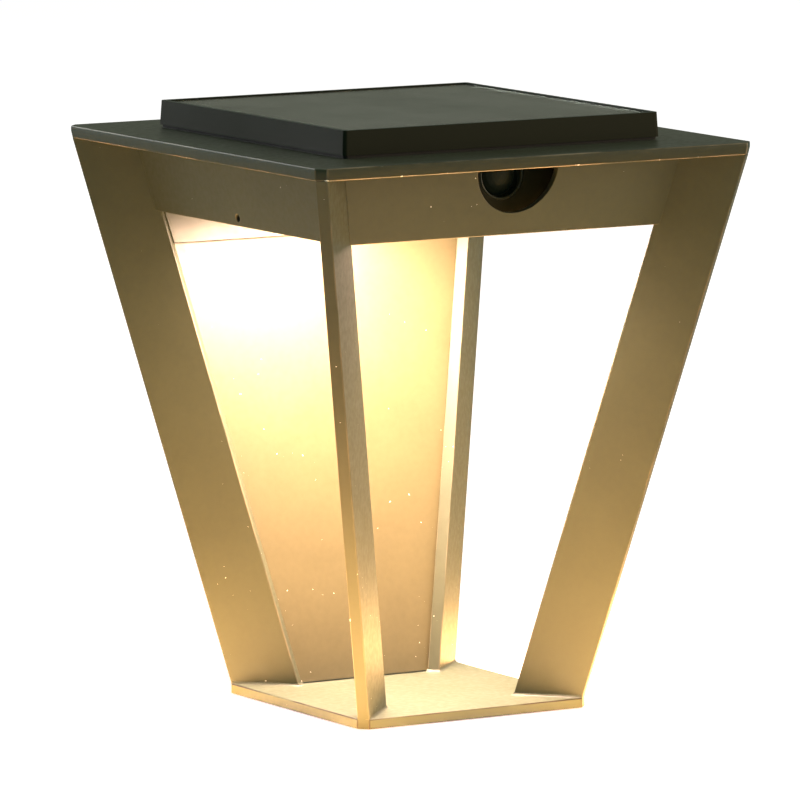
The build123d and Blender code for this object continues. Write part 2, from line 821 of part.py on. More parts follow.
# Two batteries side by side in an open holder, joined by tabs at their ends
with BuildPart() as battery_cells:
    for row in (-0.5, 0.5):
        cell_y = lamp_axis_y + battery_row_offset + row * battery_pitch
        cell_plane = Plane(
            origin=(-battery_length / 2, cell_y, foot_z + battery_axis_height), z_dir=(1, 0, 0)
        )
        with BuildSketch(cell_plane):
            Circle(cell_radius)
        extrude(amount=battery_length)
battery_cells.part.label = "battery_cells"
export_step(battery_cells.part, "parts/battery_cells.step")

with BuildPart() as battery_holder:
    with BuildSketch(level(carrier_upper)):
        with Locations((0, battery_row_offset)):
            Rectangle(holder_inner_length + 2 * holder_wall, holder_inner_depth + 2 * holder_wall)
    extrude(amount=holder_wall_height)
    with BuildSketch(level(carrier_upper + holder_floor)):
        with Locations((0, battery_row_offset)):
            Rectangle(holder_inner_length, holder_inner_depth)
    extrude(amount=holder_wall_height - holder_floor, mode=Mode.SUBTRACT)
battery_holder.part.label = "battery_holder"
export_step(battery_holder.part, "parts/battery_holder.step")

with BuildPart() as battery_tabs:
    for side in (-1, 1):
        tab_plane = Plane(
            origin=(side * battery_length / 2, lamp_axis_y, foot_z + battery_axis_height),
            x_dir=(0, side, 0),
            z_dir=(side, 0, 0),
        )
        with BuildSketch(tab_plane):
            with Locations((side * battery_row_offset, 0)):
                Rectangle(battery_pitch + tab_width, tab_width)
        extrude(amount=tab_thickness)
battery_tabs.part.label = "battery_tabs"
export_step(battery_tabs.part, "parts/battery_tabs.step")

# Control board on the carrier's posts, its parts and its screws
with BuildPart() as main_board:
    with BuildSketch(level(board_lower)):
        with Locations((0, main_board_offset)):
            Rectangle(main_board_length, main_board_depth)
            with GridLocations(2 * board_screw_x, 2 * board_screw_y, 2, 2):
                Circle(board_screw_radius + screw_clearance, mode=Mode.SUBTRACT)
    extrude(amount=main_board_thickness)
main_board.part.label = "main_board"
export_step(main_board.part, "parts/main_board.step")

with BuildPart() as main_board_screws:
    with BuildSketch(level(board_upper)):
        with Locations((0, main_board_offset)):
            with GridLocations(2 * board_screw_x, 2 * board_screw_y, 2, 2):
                Circle(board_screw_head_radius)
    extrude(amount=board_screw_head_height)
    with BuildSketch(level(board_upper)):
        with Locations((0, main_board_offset)):
            with GridLocations(2 * board_screw_x, 2 * board_screw_y, 2, 2):
                Circle(board_screw_radius)
    extrude(amount=-board_screw_length)
main_board_screws.part.label = "main_board_screws"
export_step(main_board_screws.part, "parts/main_board_screws.step")

# Battery wires lie on the tabs and run straight forward to two plug blocks at the board's rear
lead_start = battery_row_offset - battery_pitch / 2
block_centre_y = main_board_offset + main_board_depth / 2 - plug_block_depth / 2
block_rear = main_board_offset + main_board_depth / 2
with BuildPart() as board_parts:
    with BuildSketch(level(board_upper)):
        with Locations((-battery_wire_x, block_centre_y), (battery_wire_x, block_centre_y)):
            Rectangle(plug_block_length, plug_block_depth)
    extrude(amount=battery_axis_height - board_upper + plug_block_height / 2)
    with BuildSketch(level(board_upper)):
        with Locations((capacitor_place, main_board_offset)):
            Circle(capacitor_radius)
    extrude(amount=capacitor_height)
    with BuildSketch(level(board_upper)):
        with Locations((coil_place, main_board_offset)):
            RectangleRounded(coil_size, coil_size, coil_corner)
    extrude(amount=coil_height)
    with BuildSketch(level(board_upper)):
        with Locations((0, main_board_offset - chip_shift)):
            with GridLocations(chip_spacing, chip_spacing, 2, 1):
                Rectangle(chip_width, chip_length)
    extrude(amount=chip_height)
board_parts.part.label = "board_parts"
export_step(board_parts.part, "parts/board_parts.step")

with BuildPart() as battery_leads:
    for side in (-1, 1):
        lead_plane = Plane(
            origin=(side * battery_wire_x, lamp_axis_y + lead_start, foot_z + battery_axis_height),
            z_dir=(0, -1, 0),
        )
        with BuildSketch(lead_plane):
            Circle(wire_radius)
        extrude(amount=lead_start - block_rear)
battery_leads.part.label = "battery_leads"
export_step(battery_leads.part, "parts/battery_leads.step")

# Solar wires drop from the laminate to the board, lamp wires rise from the lamp board
with BuildPart() as solar_leads:
    with BuildSketch(level(board_upper)):
        with Locations((-wire_spacing / 2, main_board_offset), (wire_spacing / 2, main_board_offset)):
            Circle(wire_radius)
    extrude(amount=solar_floor_height - board_upper)
solar_leads.part.label = "solar_leads"
export_step(solar_leads.part, "parts/solar_leads.step")

with BuildPart() as led_leads:
    with BuildSketch(level(carrier_lower)):
        with Locations((-wire_spacing / 2, main_board_offset), (wire_spacing / 2, main_board_offset)):
            Circle(wire_radius)
    extrude(amount=board_lower - carrier_lower)
led_leads.part.label = "led_leads"
export_step(led_leads.part, "parts/led_leads.step")


# Motion sensor: a bezel in the front wall, a domed lens, a sensor can and its small board.
# Every section here is turned about the sensor's own axis, which points out of the front.
def sensor_section():
    origin = level(sensor_height).origin + Vector(sensor_offset, 0, 0)
    return Plane(origin=origin, x_dir=(0, 0, 1), z_dir=(-1, 0, 0))


# In the section, local X is the radius and local Y is the distance behind the axis, so a
# point in front of the lamp's axis has a negative local Y.
sensor_axis = Axis((sensor_offset, lamp_axis_y, foot_z + sensor_height), (0, 1, 0))
rim_outer = sensor_rim_radius + sensor_rim_wall
tube_inner = sensor_flange_radius - sensor_tube_wall
with BuildPart() as sensor_bezel:
    with BuildSketch(sensor_section()):
        with BuildLine():
            Polyline(
                (sensor_rim_radius, -module_half),
                (rim_outer, -module_half),
                (rim_outer, -inner_half),
                (sensor_flange_radius, -inner_half),
                (sensor_flange_radius, sensor_tube_back),
                (tube_inner, sensor_tube_back),
                (tube_inner, sensor_flange_back),
                (sensor_rim_radius, sensor_flange_back),
                close=True,
            )
        make_face()
    revolve(axis=sensor_axis)
sensor_bezel.part.label = "sensor_bezel"
export_step(sensor_bezel.part, "parts/sensor_bezel.step")

lens_flange_radius = tube_inner - lens_clearance
lens_back = sensor_flange_back + lens_flange_thickness
lens_tip = sensor_flange_back - lens_rise
inner_base_radius = lens_base_radius - lens_wall
inner_tip = lens_tip + lens_wall
with BuildPart() as sensor_lens:
    with BuildSketch(sensor_section()):
        with BuildLine():
            Line((lens_base_radius, sensor_flange_back), (lens_flange_radius, sensor_flange_back))
            Line((lens_flange_radius, sensor_flange_back), (lens_flange_radius, lens_back))
            Line((lens_flange_radius, lens_back), (inner_base_radius, lens_back))
            Line((inner_base_radius, lens_back), (inner_base_radius, sensor_flange_back))
            TangentArc((0, inner_tip), (inner_base_radius, sensor_flange_back), tangent=(1, 0))
            Line((0, inner_tip), (0, lens_tip))
            TangentArc((0, lens_tip), (lens_base_radius, sensor_flange_back), tangent=(1, 0))
        make_face()
    revolve(axis=sensor_axis)
sensor_lens.part.label = "sensor_lens"
export_step(sensor_lens.part, "parts/sensor_lens.step")

with BuildPart() as sensor_board:
    with BuildSketch(facing(0, -sensor_tube_back, sensor_height)):
        with Locations((sensor_offset, 0)):
            Circle(sensor_flange_radius)
    extrude(amount=-sensor_board_thickness)
sensor_board.part.label = "sensor_board"
export_step(sensor_board.part, "parts/sensor_board.step")

with BuildPart() as sensor_can:
    with BuildSketch(facing(0, -sensor_tube_back, sensor_height)):
        with Locations((sensor_offset, 0)):
            Circle(sensor_can_radius)
    extrude(amount=sensor_can_height)
sensor_can.part.label = "sensor_can"
export_step(sensor_can.part, "parts/sensor_can.step")

# Mode button under the module, its switch and the switch's board
with BuildPart() as mode_button:
    with BuildSketch(level(module_lower_height - button_stand_out)):
        with Locations((button_offset, 0)):
            Circle(button_radius)
    extrude(amount=cover_thickness + button_stand_out)
    with BuildSketch(level(cover_upper_height)):
        with Locations((button_offset, 0)):
            Circle(button_flange_radius)
    extrude(amount=button_flange_thickness)
    with BuildSketch(level(button_flange_top)):
        with Locations((button_offset, 0)):
            Circle(button_stem_radius)
    extrude(amount=stem_top - button_flange_top)
mode_button.part.label = "mode_button"
export_step(mode_button.part, "parts/mode_button.step")

with BuildPart() as switch_plunger:
    with BuildSketch(level(stem_top)):
        with Locations((button_offset, 0)):
            Circle(plunger_radius)
    extrude(amount=switch_lower - stem_top + plunger_engagement)
switch_plunger.part.label = "switch_plunger"
export_step(switch_plunger.part, "parts/switch_plunger.step")

with BuildPart() as button_switch:
    with BuildSketch(level(switch_lower)):
        with Locations((button_offset, 0)):
            Rectangle(switch_size, switch_size)
    extrude(amount=switch_height)
    with BuildSketch(level(switch_lower)):
        with Locations((button_offset, 0)):
            Circle(plunger_radius + plunger_clearance)
    extrude(amount=plunger_engagement + button_travel + button_travel_spare, mode=Mode.SUBTRACT)
button_switch.part.label = "button_switch"
export_step(button_switch.part, "parts/button_switch.step")

with BuildPart() as button_board:
    with BuildSketch(level_down(carrier_lower)):
        with Locations((button_offset, 0)):
            Rectangle(button_board_width, button_board_length)
    extrude(amount=button_board_thickness)
button_board.part.label = "button_board"
export_step(button_board.part, "parts/button_board.step")
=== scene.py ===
import math
import bpy
from mathutils import Matrix, Vector


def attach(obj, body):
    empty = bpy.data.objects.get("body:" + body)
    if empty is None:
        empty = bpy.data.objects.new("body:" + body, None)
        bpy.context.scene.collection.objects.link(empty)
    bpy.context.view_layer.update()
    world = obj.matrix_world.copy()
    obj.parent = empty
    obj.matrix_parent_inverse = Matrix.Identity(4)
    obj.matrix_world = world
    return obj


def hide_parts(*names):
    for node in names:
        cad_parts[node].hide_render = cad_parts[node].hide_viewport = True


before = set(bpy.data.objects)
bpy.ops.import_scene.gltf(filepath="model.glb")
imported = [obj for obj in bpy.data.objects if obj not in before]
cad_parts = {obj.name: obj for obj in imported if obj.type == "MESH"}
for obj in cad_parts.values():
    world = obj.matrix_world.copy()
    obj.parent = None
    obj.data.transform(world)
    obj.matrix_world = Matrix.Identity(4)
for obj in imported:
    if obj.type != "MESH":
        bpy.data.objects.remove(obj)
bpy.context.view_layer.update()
print("frame loaded:", len(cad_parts), "nodes")

# Pieces are laid out in millimetres around the lamp's axis: x to the right, y towards the wall,
# and heights from the underside of the foot plate. spot() gives the place in metres.
perMetre = 1000
axisShift = Vector((0, -100, -176))
lampAxis = Vector((0, -0.1, 0))
close = 0.1  # places less than this far apart, in millimetres, count as one
past = 5  # how far a cutter stands out of what it cuts, in millimetres


def spot(x, y, height):
    return (Vector((x, y, height)) + axisShift) / perMetre


def clearSelection():
    bpy.ops.object.select_all(action="DESELECT")


def activate(*pieces):
    clearSelection()
    for piece in pieces:
        piece.select_set(True)
    bpy.context.view_layer.objects.active = pieces[0]


def settle(piece):  # puts the object's place into its mesh
    activate(piece)
    bpy.ops.object.transform_apply(location=True, rotation=True, scale=True)
    return piece


def startBlock(name, low, high):
    clearSelection()
    low, high = spot(*low), spot(*high)
    bpy.ops.mesh.primitive_cube_add(size=1, location=(low + high) / 2, scale=high - low)
    bpy.context.object.name = name
    return settle(bpy.context.object)


def startSlab(name, half, low, high):  # a square block on the lamp's axis
    return startBlock(name, (-half, -half, low), (half, half, high))


def startRod(name, start, end, radius, sides):
    clearSelection()
    start, end = spot(*start), spot(*end)
    bpy.ops.mesh.primitive_cylinder_add(
        vertices=sides, radius=radius / perMetre, depth=(end - start).length,
        location=(start + end) / 2, rotation=(end - start).to_track_quat("Z", "Y").to_euler())
    bpy.context.object.name = name
    return settle(bpy.context.object)


def inPlan(corner):  # a mesh corner's place in millimetres, as spot() takes it
    return corner.co * perMetre - axisShift


def edgeEnds(mesh, edge):
    return [inPlan(mesh.vertices[i]) for i in edge.vertices]


# Edit mode, with only the corners, edges or faces selected that pass the test
def editWith(piece, kind, test):
    activate(piece)
    bpy.ops.object.mode_set(mode="EDIT")
    bpy.ops.mesh.select_mode(type=kind)
    bpy.ops.mesh.select_all(action="DESELECT")
    bpy.ops.object.mode_set(mode="OBJECT")
    mesh = piece.data
    if kind == "VERT":
        for corner in mesh.vertices:
            corner.select = test(inPlan(corner))
    elif kind == "EDGE":
        for edge in mesh.edges:
            edge.select = test(*edgeEnds(mesh, edge))
    else:
        for face in mesh.polygons:
            face.select = test(face.normal)
    bpy.ops.object.mode_set(mode="EDIT")


def endEdit():
    bpy.ops.object.mode_set(mode="OBJECT")


def everyFace(facing):
    return True


def upright(a, b):
    return abs(a.z - b.z) > 1


def throughPlate(a, b):  # short edges that run from a plate's front to its back
    return abs(a.x - b.x) < close and abs(a.z - b.z) < close


def slide(piece, test, x=0, y=0):
    editWith(piece, "VERT", test)
    bpy.ops.transform.translate(value=(x / perMetre, y / perMetre, 0))
    endEdit()


def insetPicked(width):
    bpy.ops.mesh.inset(thickness=width / perMetre)


def extrudePicked(y=0, z=0):
    shift = (0, y / perMetre, z / perMetre)
    bpy.ops.mesh.extrude_region_move(TRANSFORM_OT_translate={"value": shift})


def bevelPicked(width, steps):
    bpy.ops.mesh.bevel(offset=width / perMetre, segments=steps, affect="EDGES", clamp_overlap=True)
    endEdit()


def roundEdges(piece, test, width, steps):
    editWith(piece, "EDGE", test)
    bevelPicked(width, steps)


# The narrow faces that the last bevel made carry the mask "rim": the finishes read it for wear,
# painted highlight and painted shade
def markRim(piece, width):
    mesh = piece.data
    mask = mesh.attributes.get("rim") or mesh.attributes.new("rim", "FLOAT", "FACE")
    for face in mesh.polygons:
        corners = [mesh.vertices[i].co for i in face.vertices]
        border = sum((a - b).length for a, b in zip(corners, corners[1:] + corners[:1]))
        if face.select and 2 * face.area / border < width / perMetre:
            mask.data[face.index].value = 1.0


# Rounds the sharp edges, or only those of them that pass the test, and marks them
def soften(piece, width, keep=None, steps=3, sharper=40):
    editWith(piece, "EDGE", lambda a, b: False)
    bpy.ops.mesh.edges_select_sharp(sharpness=math.radians(sharper))
    if keep:
        endEdit()
        for edge in piece.data.edges:
            edge.select = edge.select and keep(*edgeEnds(piece.data, edge))
        bpy.ops.object.mode_set(mode="EDIT")
    bevelPicked(width, steps)
    markRim(piece, width)


def trim(piece, point, normal):  # cuts off what lies beyond the plane, and closes the cut
    editWith(piece, "FACE", everyFace)
    bpy.ops.mesh.bisect(plane_co=spot(*point), plane_no=normal, use_fill=True, clear_outer=True)
    endEdit()


def ringAt(piece, height):  # a level edge loop right round the piece
    editWith(piece, "FACE", everyFace)
    bpy.ops.mesh.bisect(plane_co=spot(0, 0, height), plane_no=(0, 0, 1))
    endEdit()


def divide(piece, test, cuts):
    editWith(piece, "FACE", test)
    bpy.ops.mesh.subdivide(number_cuts=cuts)
    endEdit()


def finishWith(piece, kind, **settings):
    activate(piece)
    modifier = piece.modifiers.new(kind.lower(), kind)
    for name, value in settings.items():
        setattr(modifier, name, value)
    bpy.ops.object.modifier_apply(modifier=modifier.name)


def combine(piece, tool, how="DIFFERENCE"):
    finishWith(piece, "BOOLEAN", object=tool, operation=how, solver="EXACT")
    bpy.data.objects.remove(tool)


def bore(piece, start, end, radius, sides):
    combine(piece, startRod("cutter", start, end, radius, sides))


def joinAll(first, *others):
    activate(first, *others)
    bpy.ops.object.join()
    return first


def copied(piece, name):  # a copy with its own mesh
    twin = piece.copy()
    twin.data = piece.data.copy()
    twin.name = name
    bpy.context.scene.collection.objects.link(twin)
    return twin


def turnAbout(point, degrees):
    away = Matrix.Translation(point)
    return away @ Matrix.Rotation(math.radians(degrees), 4, "Z") @ away.inverted()


def turned(piece, name, degrees):  # a copy turned about the lamp's axis
    twin = copied(piece, name)
    twin.matrix_world = turnAbout(lampAxis, degrees)
    return settle(twin)


def smooth(piece, angle=35, weighted=True):
    activate(piece)
    bpy.ops.object.shade_smooth_by_angle(angle=math.radians(angle))
    if weighted:
        finishWith(piece, "WEIGHTED_NORMAL", weight=90, keep_sharp=True)


def finishPiece(piece, body, slot, material, *nodes):
    piece.data.materials.clear()
    piece.data.materials.append(material)
    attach(piece, body)
    if nodes:
        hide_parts(*nodes)


def coat(piece, finish, *nodes):  # a painted piece of the lamp's frame
    finishPiece(piece, "lamp", "frame_paint", finishes[finish], *nodes)


# Camera: a long lens, a little above the lamp and to its left
cameraPlace = {
    "turn": -31.174, "rise": 7.612, "distance": 3.3705, "lens": 378.8, "sensor": 36, "farthest": 50,
    "target": (-0.00357, -0.1002, -0.05412)}


def setCamera(place):
    turn, rise = math.radians(place["turn"]), math.radians(place["rise"])
    level = Vector((math.sin(turn), -math.cos(turn), 0))
    back = level * math.cos(rise) + Vector((0, 0, math.sin(rise)))
    right = Vector((math.cos(turn), math.sin(turn), 0))
    up = back.cross(right)
    clearSelection()
    bpy.ops.object.camera_add()
    camera = bpy.context.object
    camera.name = "viewCamera"
    axes = Matrix((right, up, back)).transposed().to_4x4()
    eye = Vector(place["target"]) + back * place["distance"]
    camera.matrix_world = Matrix.Translation(eye) @ axes
    camera.data.lens = place["lens"]
    camera.data.sensor_width = place["sensor"]
    camera.data.clip_end = place["farthest"]
    bpy.context.scene.camera = camera


setCamera(cameraPlace)
print("camera set")


# Small steps of a node tree, for the stage and the finishes
def feed(tree, socket, value):  # a plain value is set on the socket, and an output is linked to it
    if isinstance(value, (int, float, tuple)):
        socket.default_value = value
    else:
        tree.links.new(value, socket)


def feedAll(tree, node, **values):  # Base_Color stands for the socket Base Color
    for label, value in values.items():
        feed(tree, node.inputs[label.replace("_", " ")], value)


def addNode(tree, kind, inputs={}, **settings):
    node = tree.nodes.new("ShaderNode" + kind)
    for name, value in settings.items():
        setattr(node, name, value)
    for socket, value in inputs.items():
        feed(tree, node.inputs[socket], value)
    return node.outputs


def objectPlace(tree):
    return addNode(tree, "TexCoord")["Object"]


def addNoise(tree, vector, scale, detail=2.0, roughness=0.5):
    return addNode(tree, "TexNoise", {"Vector": vector, "Scale": scale, "Detail": detail,
                                      "Roughness": roughness})["Fac"]


def addRange(tree, value, fromLow, fromHigh, toLow=0.0, toHigh=1.0):
    return addNode(tree, "MapRange", {"Value": value, "From Min": fromLow, "From Max": fromHigh,
                                      "To Min": toLow, "To Max": toHigh})["Result"]


def addMath(tree, how, first, second=0.0):
    return addNode(tree, "Math", {0: first, 1: second}, operation=how)[0]


def times(tree, first, second):
    return addMath(tree, "MULTIPLY", first, second)


def addMix(tree, factor, first, second):
    return addNode(tree, "Mix", {0: factor, 6: first, 7: second}, data_type="RGBA")[2]


def scaleColour(tree, colour, gain):
    return addNode(tree, "VectorMath", {0: colour, "Scale": gain}, operation="SCALE")[0]


def addShader(tree, kind, colour, **more):
    return addNode(tree, kind, {"Color": colour, **more})[0]


# Stage: pale floor, white surroundings and soft studio lamps
studio = {
    "floorSize": 14, "floorHeight": -0.1764, "floorColour": (0.52, 0.52, 0.51, 1),
    "floorLift": 0.92, "liftColour": (1.0, 0.88, 0.88, 1), "poolHalf": 0.23,
    "poolColour": (1.0, 0.52, 0.14, 1), "poolLevel": 18.0, "poolStart": (0.05, 0.09),
    "poolEnd": (0.155, 0.225), "skyColour": (0.36, 1.0, 0.97, 1), "skyLevel": 0.35,
    "reflectedColour": (0.95, 1.0, 0.80, 1), "reflectedLevel": 0.20, "backdropColour": (1, 1, 1, 1),
    "backdropLevel": 1.0}
# each lamp's place, size, power and colour; all of them look at the lamp's axis
lamps = {"overheadSoftbox": ((0.2, -0.5, 1.9), 1.6, 9, (1.0, 0.93, 0.82)),
         "rightSoftbox": ((1.7, -1.2, 0.3), 0.95, 28, (1.0, 0.77, 0.53)),
         "rearSoftbox": ((-0.7, 2.0, 0.6), 1.2, 26, (1.0, 1.0, 0.97))}


def addLamp(name, shape, place, size, watts, colour):
    clearSelection()
    bpy.ops.object.light_add(type="AREA", location=place)
    lamp = bpy.context.object
    lamp.name = name
    lamp.data.shape = shape
    lamp.data.size = size
    lamp.data.energy = watts
    lamp.data.color = colour
    lamp.visible_camera = False
    return lamp


def startTree(owner):  # an empty node tree on a material or world
    owner.use_nodes = True
    owner.node_tree.nodes.clear()
    return owner.node_tree


def makeFloor(values):
    clearSelection()
    bpy.ops.mesh.primitive_plane_add(size=values["floorSize"],
                                     location=(0, 0, values["floorHeight"]))
    floor = bpy.context.object
    floor.name = "studioFloor"
    bpy.ops.object.mode_set(mode="EDIT")  # a face of its own for the pool of light
    bpy.ops.mesh.inset(thickness=values["floorSize"] / 2 - values["poolHalf"])
    endEdit()
    paint = bpy.data.materials.new("studioFloorPaint")
    tree = startTree(paint)
    seen = addNode(tree, "LightPath")["Is Camera Ray"]
    matte = addShader(tree, "BsdfDiffuse", values["floorColour"])
    lift = addShader(tree, "Emission", values["liftColour"],
                     Strength=times(tree, seen, values["floorLift"]))
    # the pool of warm light round the foot, which the blades pick up from below
    away = addNode(tree, "VectorMath", {0: objectPlace(tree), 1: tuple(lampAxis)},
                   operation="DISTANCE")["Value"]
    level = times(tree, addRange(tree, away, *values["poolStart"]),
                  addRange(tree, away, *values["poolEnd"], 1.0, 0.0))
    level = times(tree, level, addMath(tree, "SUBTRACT", 1.0, seen))
    pool = addShader(tree, "Emission", values["poolColour"],
                     Strength=times(tree, level, values["poolLevel"]))
    lifted = addNode(tree, "AddShader", {0: matte, 1: lift})[0]
    every = addNode(tree, "AddShader", {0: lifted, 1: pool})[0]
    addNode(tree, "OutputMaterial", {"Surface": every})
    floor.data.materials.append(paint)


def makeSky(values):
    world = bpy.data.worlds.new("studioSky")
    bpy.context.scene.world = world
    tree = startTree(world)
    rays = addNode(tree, "LightPath")
    sky, reflected, backdrop = (
        addShader(tree, "Background", values[part + "Colour"], Strength=values[part + "Level"])
        for part in ("sky", "reflected", "backdrop"))
    unseen = addNode(tree, "MixShader", {0: rays["Is Glossy Ray"], 1: sky, 2: reflected})[0]
    every = addNode(tree, "MixShader", {0: rays["Is Camera Ray"], 1: unseen, 2: backdrop})[0]
    addNode(tree, "OutputWorld", {"Surface": every})


makeFloor(studio)
makeSky(studio)
for lampName, lampSettings in lamps.items():
    lamp = addLamp(lampName, "DISK", *lampSettings)
    lamp.rotation_euler = (lampAxis - lamp.location).to_track_quat("-Z", "Y").to_euler()
bpy.context.scene.view_settings.view_transform = "Standard"
print("stage set")


# Shared effects, as node groups
def startGroup(name, inputs, outputs):
    group = bpy.data.node_groups.new(name, "ShaderNodeTree")
    kinds = {"colour": "NodeSocketColor", "value": "NodeSocketFloat"}
    for label, value in inputs.items():
        kind = "colour" if isinstance(value, tuple) else "value"
        socket = group.interface.new_socket(name=label, in_out="INPUT", socket_type=kinds[kind])
        socket.default_value = value
    for label, kind in outputs.items():
        group.interface.new_socket(name=label, in_out="OUTPUT", socket_type=kinds[kind])
    given, result = group.nodes.new("NodeGroupInput"), group.nodes.new("NodeGroupOutput")
    return group, given.outputs, result


# Sprayed coat: fine grain, soft mottling, and small pale flecks of uneven outline, which gather
# in groups and thin out towards the head
coatLook = {
    "broadScale": 34.0, "broadShare": 0.55, "fineScale": 420.0, "fineShare": 0.45,
    "mottleRange": (0.32, 0.68), "swirlScale": 900.0, "swirl": (0.002, 0.002, 0.002),
    "fleckScale": 420.0, "groupScale": 48.0, "groupRange": (0.45, 0.62),
    "thinHeights": (-0.14, -0.04), "thinShares": (0.5, 0.12), "roughRange": (0.3, 0.7, -0.05, 0.06),
    "fineDepth": 0.8}


def makeCoatGrain(look):
    group, given, result = startGroup(
        "coatGrain",
        {"Coat Colour": (0.1, 0.1, 0.1, 1), "Fleck Colour": (0.9, 0.86, 0.78, 1),
         "Grain Scale": 1600.0, "Mottle": 0.12, "Flecks": 0.05, "Roughness": 0.5},
        {"Colour": "colour", "Roughness": "value", "Height": "value"})
    place = objectPlace(group)
    grain = addNoise(group, place, given["Grain Scale"], 1.5)
    broad = addNoise(group, place, look["broadScale"], 3.0)
    fine = addNoise(group, place, look["fineScale"])
    cloud = addMath(group, "ADD", times(group, broad, look["broadShare"]),
                    times(group, fine, look["fineShare"]))
    shade = times(group, addRange(group, cloud, *look["mottleRange"], -1, 1), given["Mottle"])
    mottled = scaleColour(group, given["Coat Colour"], addMath(group, "ADD", shade, 1.0))
    swirl = addNode(group, "TexNoise", {"Vector": place, "Scale": look["swirlScale"]})["Color"]
    moved = addNode(group, "VectorMath", {0: swirl, 1: look["swirl"], 2: place},
                    operation="MULTIPLY_ADD")[0]
    cells = addNode(group, "TexVoronoi", {"Vector": moved, "Scale": look["fleckScale"]})
    draws = addNode(group, "SeparateColor", {0: cells["Color"]})
    height = addNode(group, "SeparateXYZ", {0: place})["Z"]
    gathered = addRange(group, addNoise(group, place, look["groupScale"], 1.0), *look["groupRange"])
    thinned = addRange(group, height, *look["thinHeights"], *look["thinShares"])
    chosen = addMath(group, "LESS_THAN", draws[0], times(group, gathered, thinned))
    inside = addMath(group, "LESS_THAN", cells["Distance"], times(group, draws[1], given["Flecks"]))
    flecked = addMix(group, times(group, chosen, inside), mottled, given["Fleck Colour"])
    rough = addMath(group, "ADD", given["Roughness"], addRange(group, fine, *look["roughRange"]))
    depth = addMath(group, "ADD", grain, times(group, fine, look["fineDepth"]))
    feedAll(group, result, Colour=flecked, Roughness=rough, Height=depth)
    return group


# Edge wear and painted edge shading on the rounded edges that carry the mask "rim": the coat chips
# and runs thin there
wearAndShadingLook = {
    "patchScale": 46.0, "patchRange": (0.4, 0.62), "chipScale": 300.0, "chipRange": (0.2, 0.8),
    "chipShare": 0.2}


def makeEdgeWearAndShading(look):
    group, given, result = startGroup(
        "edgeWearAndShading",
        {"Surface Colour": (0.1, 0.1, 0.1, 1), "Thin Colour": (0.3, 0.25, 0.2, 1),
         "Chip Colour": (0.7, 0.68, 0.62, 1), "Thinning": 0.3, "Chips": 0.4},
        {"Colour": "colour", "Worn": "value"})
    place = objectPlace(group)
    rim = addNode(group, "Attribute", attribute_name="rim")["Fac"]
    patch = addRange(group, addNoise(group, place, look["patchScale"], 3.0), *look["patchRange"])
    # The thin-coat colour is partly painted light: a pale one is a painted highlight where the
    # rounding would catch light, a dark one a painted shade along the edges
    thinAndEdgeShading = times(group, times(group, rim, patch), given["Thinning"])
    level = addMath(group, "SUBTRACT", 1.0, times(group, given["Chips"], look["chipShare"]))
    draw = addRange(group, addNoise(group, place, look["chipScale"]), *look["chipRange"])
    chip = times(group, addMath(group, "GREATER_THAN", draw, level), rim)
    thinned = addMix(group, thinAndEdgeShading, given["Surface Colour"], given["Thin Colour"])
    feedAll(group, result, Colour=addMix(group, chip, thinned, given["Chip Colour"]),
            Worn=addMath(group, "MAXIMUM", thinAndEdgeShading, chip))
    return group


# Settled dust and painted sheen: a thin pale film on faces that look up, partly dust and partly a
# painted sheen that lightens the tops
dustAndSheenLook = {"upRange": (0.55, 0.98), "patchRange": (0.3, 0.7, 0.55, 1.0)}


def facingUp(tree):  # how far a surface looks up, from -1 to 1
    return addNode(tree, "SeparateXYZ", {0: addNode(tree, "NewGeometry")["Normal"]})["Z"]


def makeSettledDustAndSheen(look):
    group, given, result = startGroup(
        "settledDustAndSheen",
        {"Surface Colour": (0.1, 0.1, 0.1, 1), "Dust Colour": (0.42, 0.43, 0.38, 1),
         "Amount": 0.3, "Patch Scale": 28.0},
        {"Colour": "colour", "Dust": "value"})
    patches = addNoise(group, objectPlace(group), given["Patch Scale"], 4.0, 0.6)
    film = times(group, addRange(group, facingUp(group), *look["upRange"]),
                 addRange(group, patches, *look["patchRange"]))
    dust = times(group, film, given["Amount"])
    dustyAndSheened = addMix(group, dust, given["Surface Colour"], given["Dust Colour"])
    feedAll(group, result, Colour=dustyAndSheened, Dust=dust)
    return group


# Moulded plastic: a spark-eroded texture, with faint flow marks
mouldLook = {"flowScale": 22.0, "flowRange": (0.3, 0.7), "roughening": (-0.04, 0.05)}


def makeMouldGrain(look):
    group, given, result = startGroup(
        "mouldGrain",
        {"Plastic Colour": (0.02, 0.02, 0.02, 1), "Grain Scale": 1900.0, "Roughness": 0.45,
         "Variation": 0.15},
        {"Colour": "colour", "Roughness": "value", "Height": "value"})
    place = objectPlace(group)
    grain = addNoise(group, place, given["Grain Scale"], 1.0)
    flow = addNoise(group, place, look["flowScale"], 3.0)
    shade = times(group, addRange(group, flow, *look["flowRange"], -1, 1), given["Variation"])
    rough = addRange(group, flow, *look["flowRange"], *look["roughening"])
    feedAll(group, result, Height=grain, Roughness=addMath(group, "ADD", given["Roughness"], rough),
            Colour=scaleColour(group, given["Plastic Colour"], addMath(group, "ADD", 1.0, shade)))
    return group


effects = {"grain": makeCoatGrain(coatLook), "wear": makeEdgeWearAndShading(wearAndShadingLook),
           "dust": makeSettledDustAndSheen(dustAndSheenLook), "mould": makeMouldGrain(mouldLook)}
print("effects made")


def startMaterial(name, specular=0.5, **settings):
    material = bpy.data.materials.new(name)
    material.use_nodes = True
    shader = material.node_tree.nodes["Principled BSDF"]
    feedAll(material.node_tree, shader, Specular_IOR_Level=specular, **settings)
    return material, material.node_tree, shader


def placeGroup(tree, effect, **values):
    node = tree.nodes.new("ShaderNodeGroup")
    node.node_tree = effects[effect]
    feedAll(tree, node, **values)
    return node.outputs


def addBump(tree, shader, height, strength, depth):
    bump = addNode(tree, "Bump", {"Strength": strength, "Distance": depth / perMetre,
                                  "Height": height})
    feedAll(tree, shader, Normal=bump["Normal"])
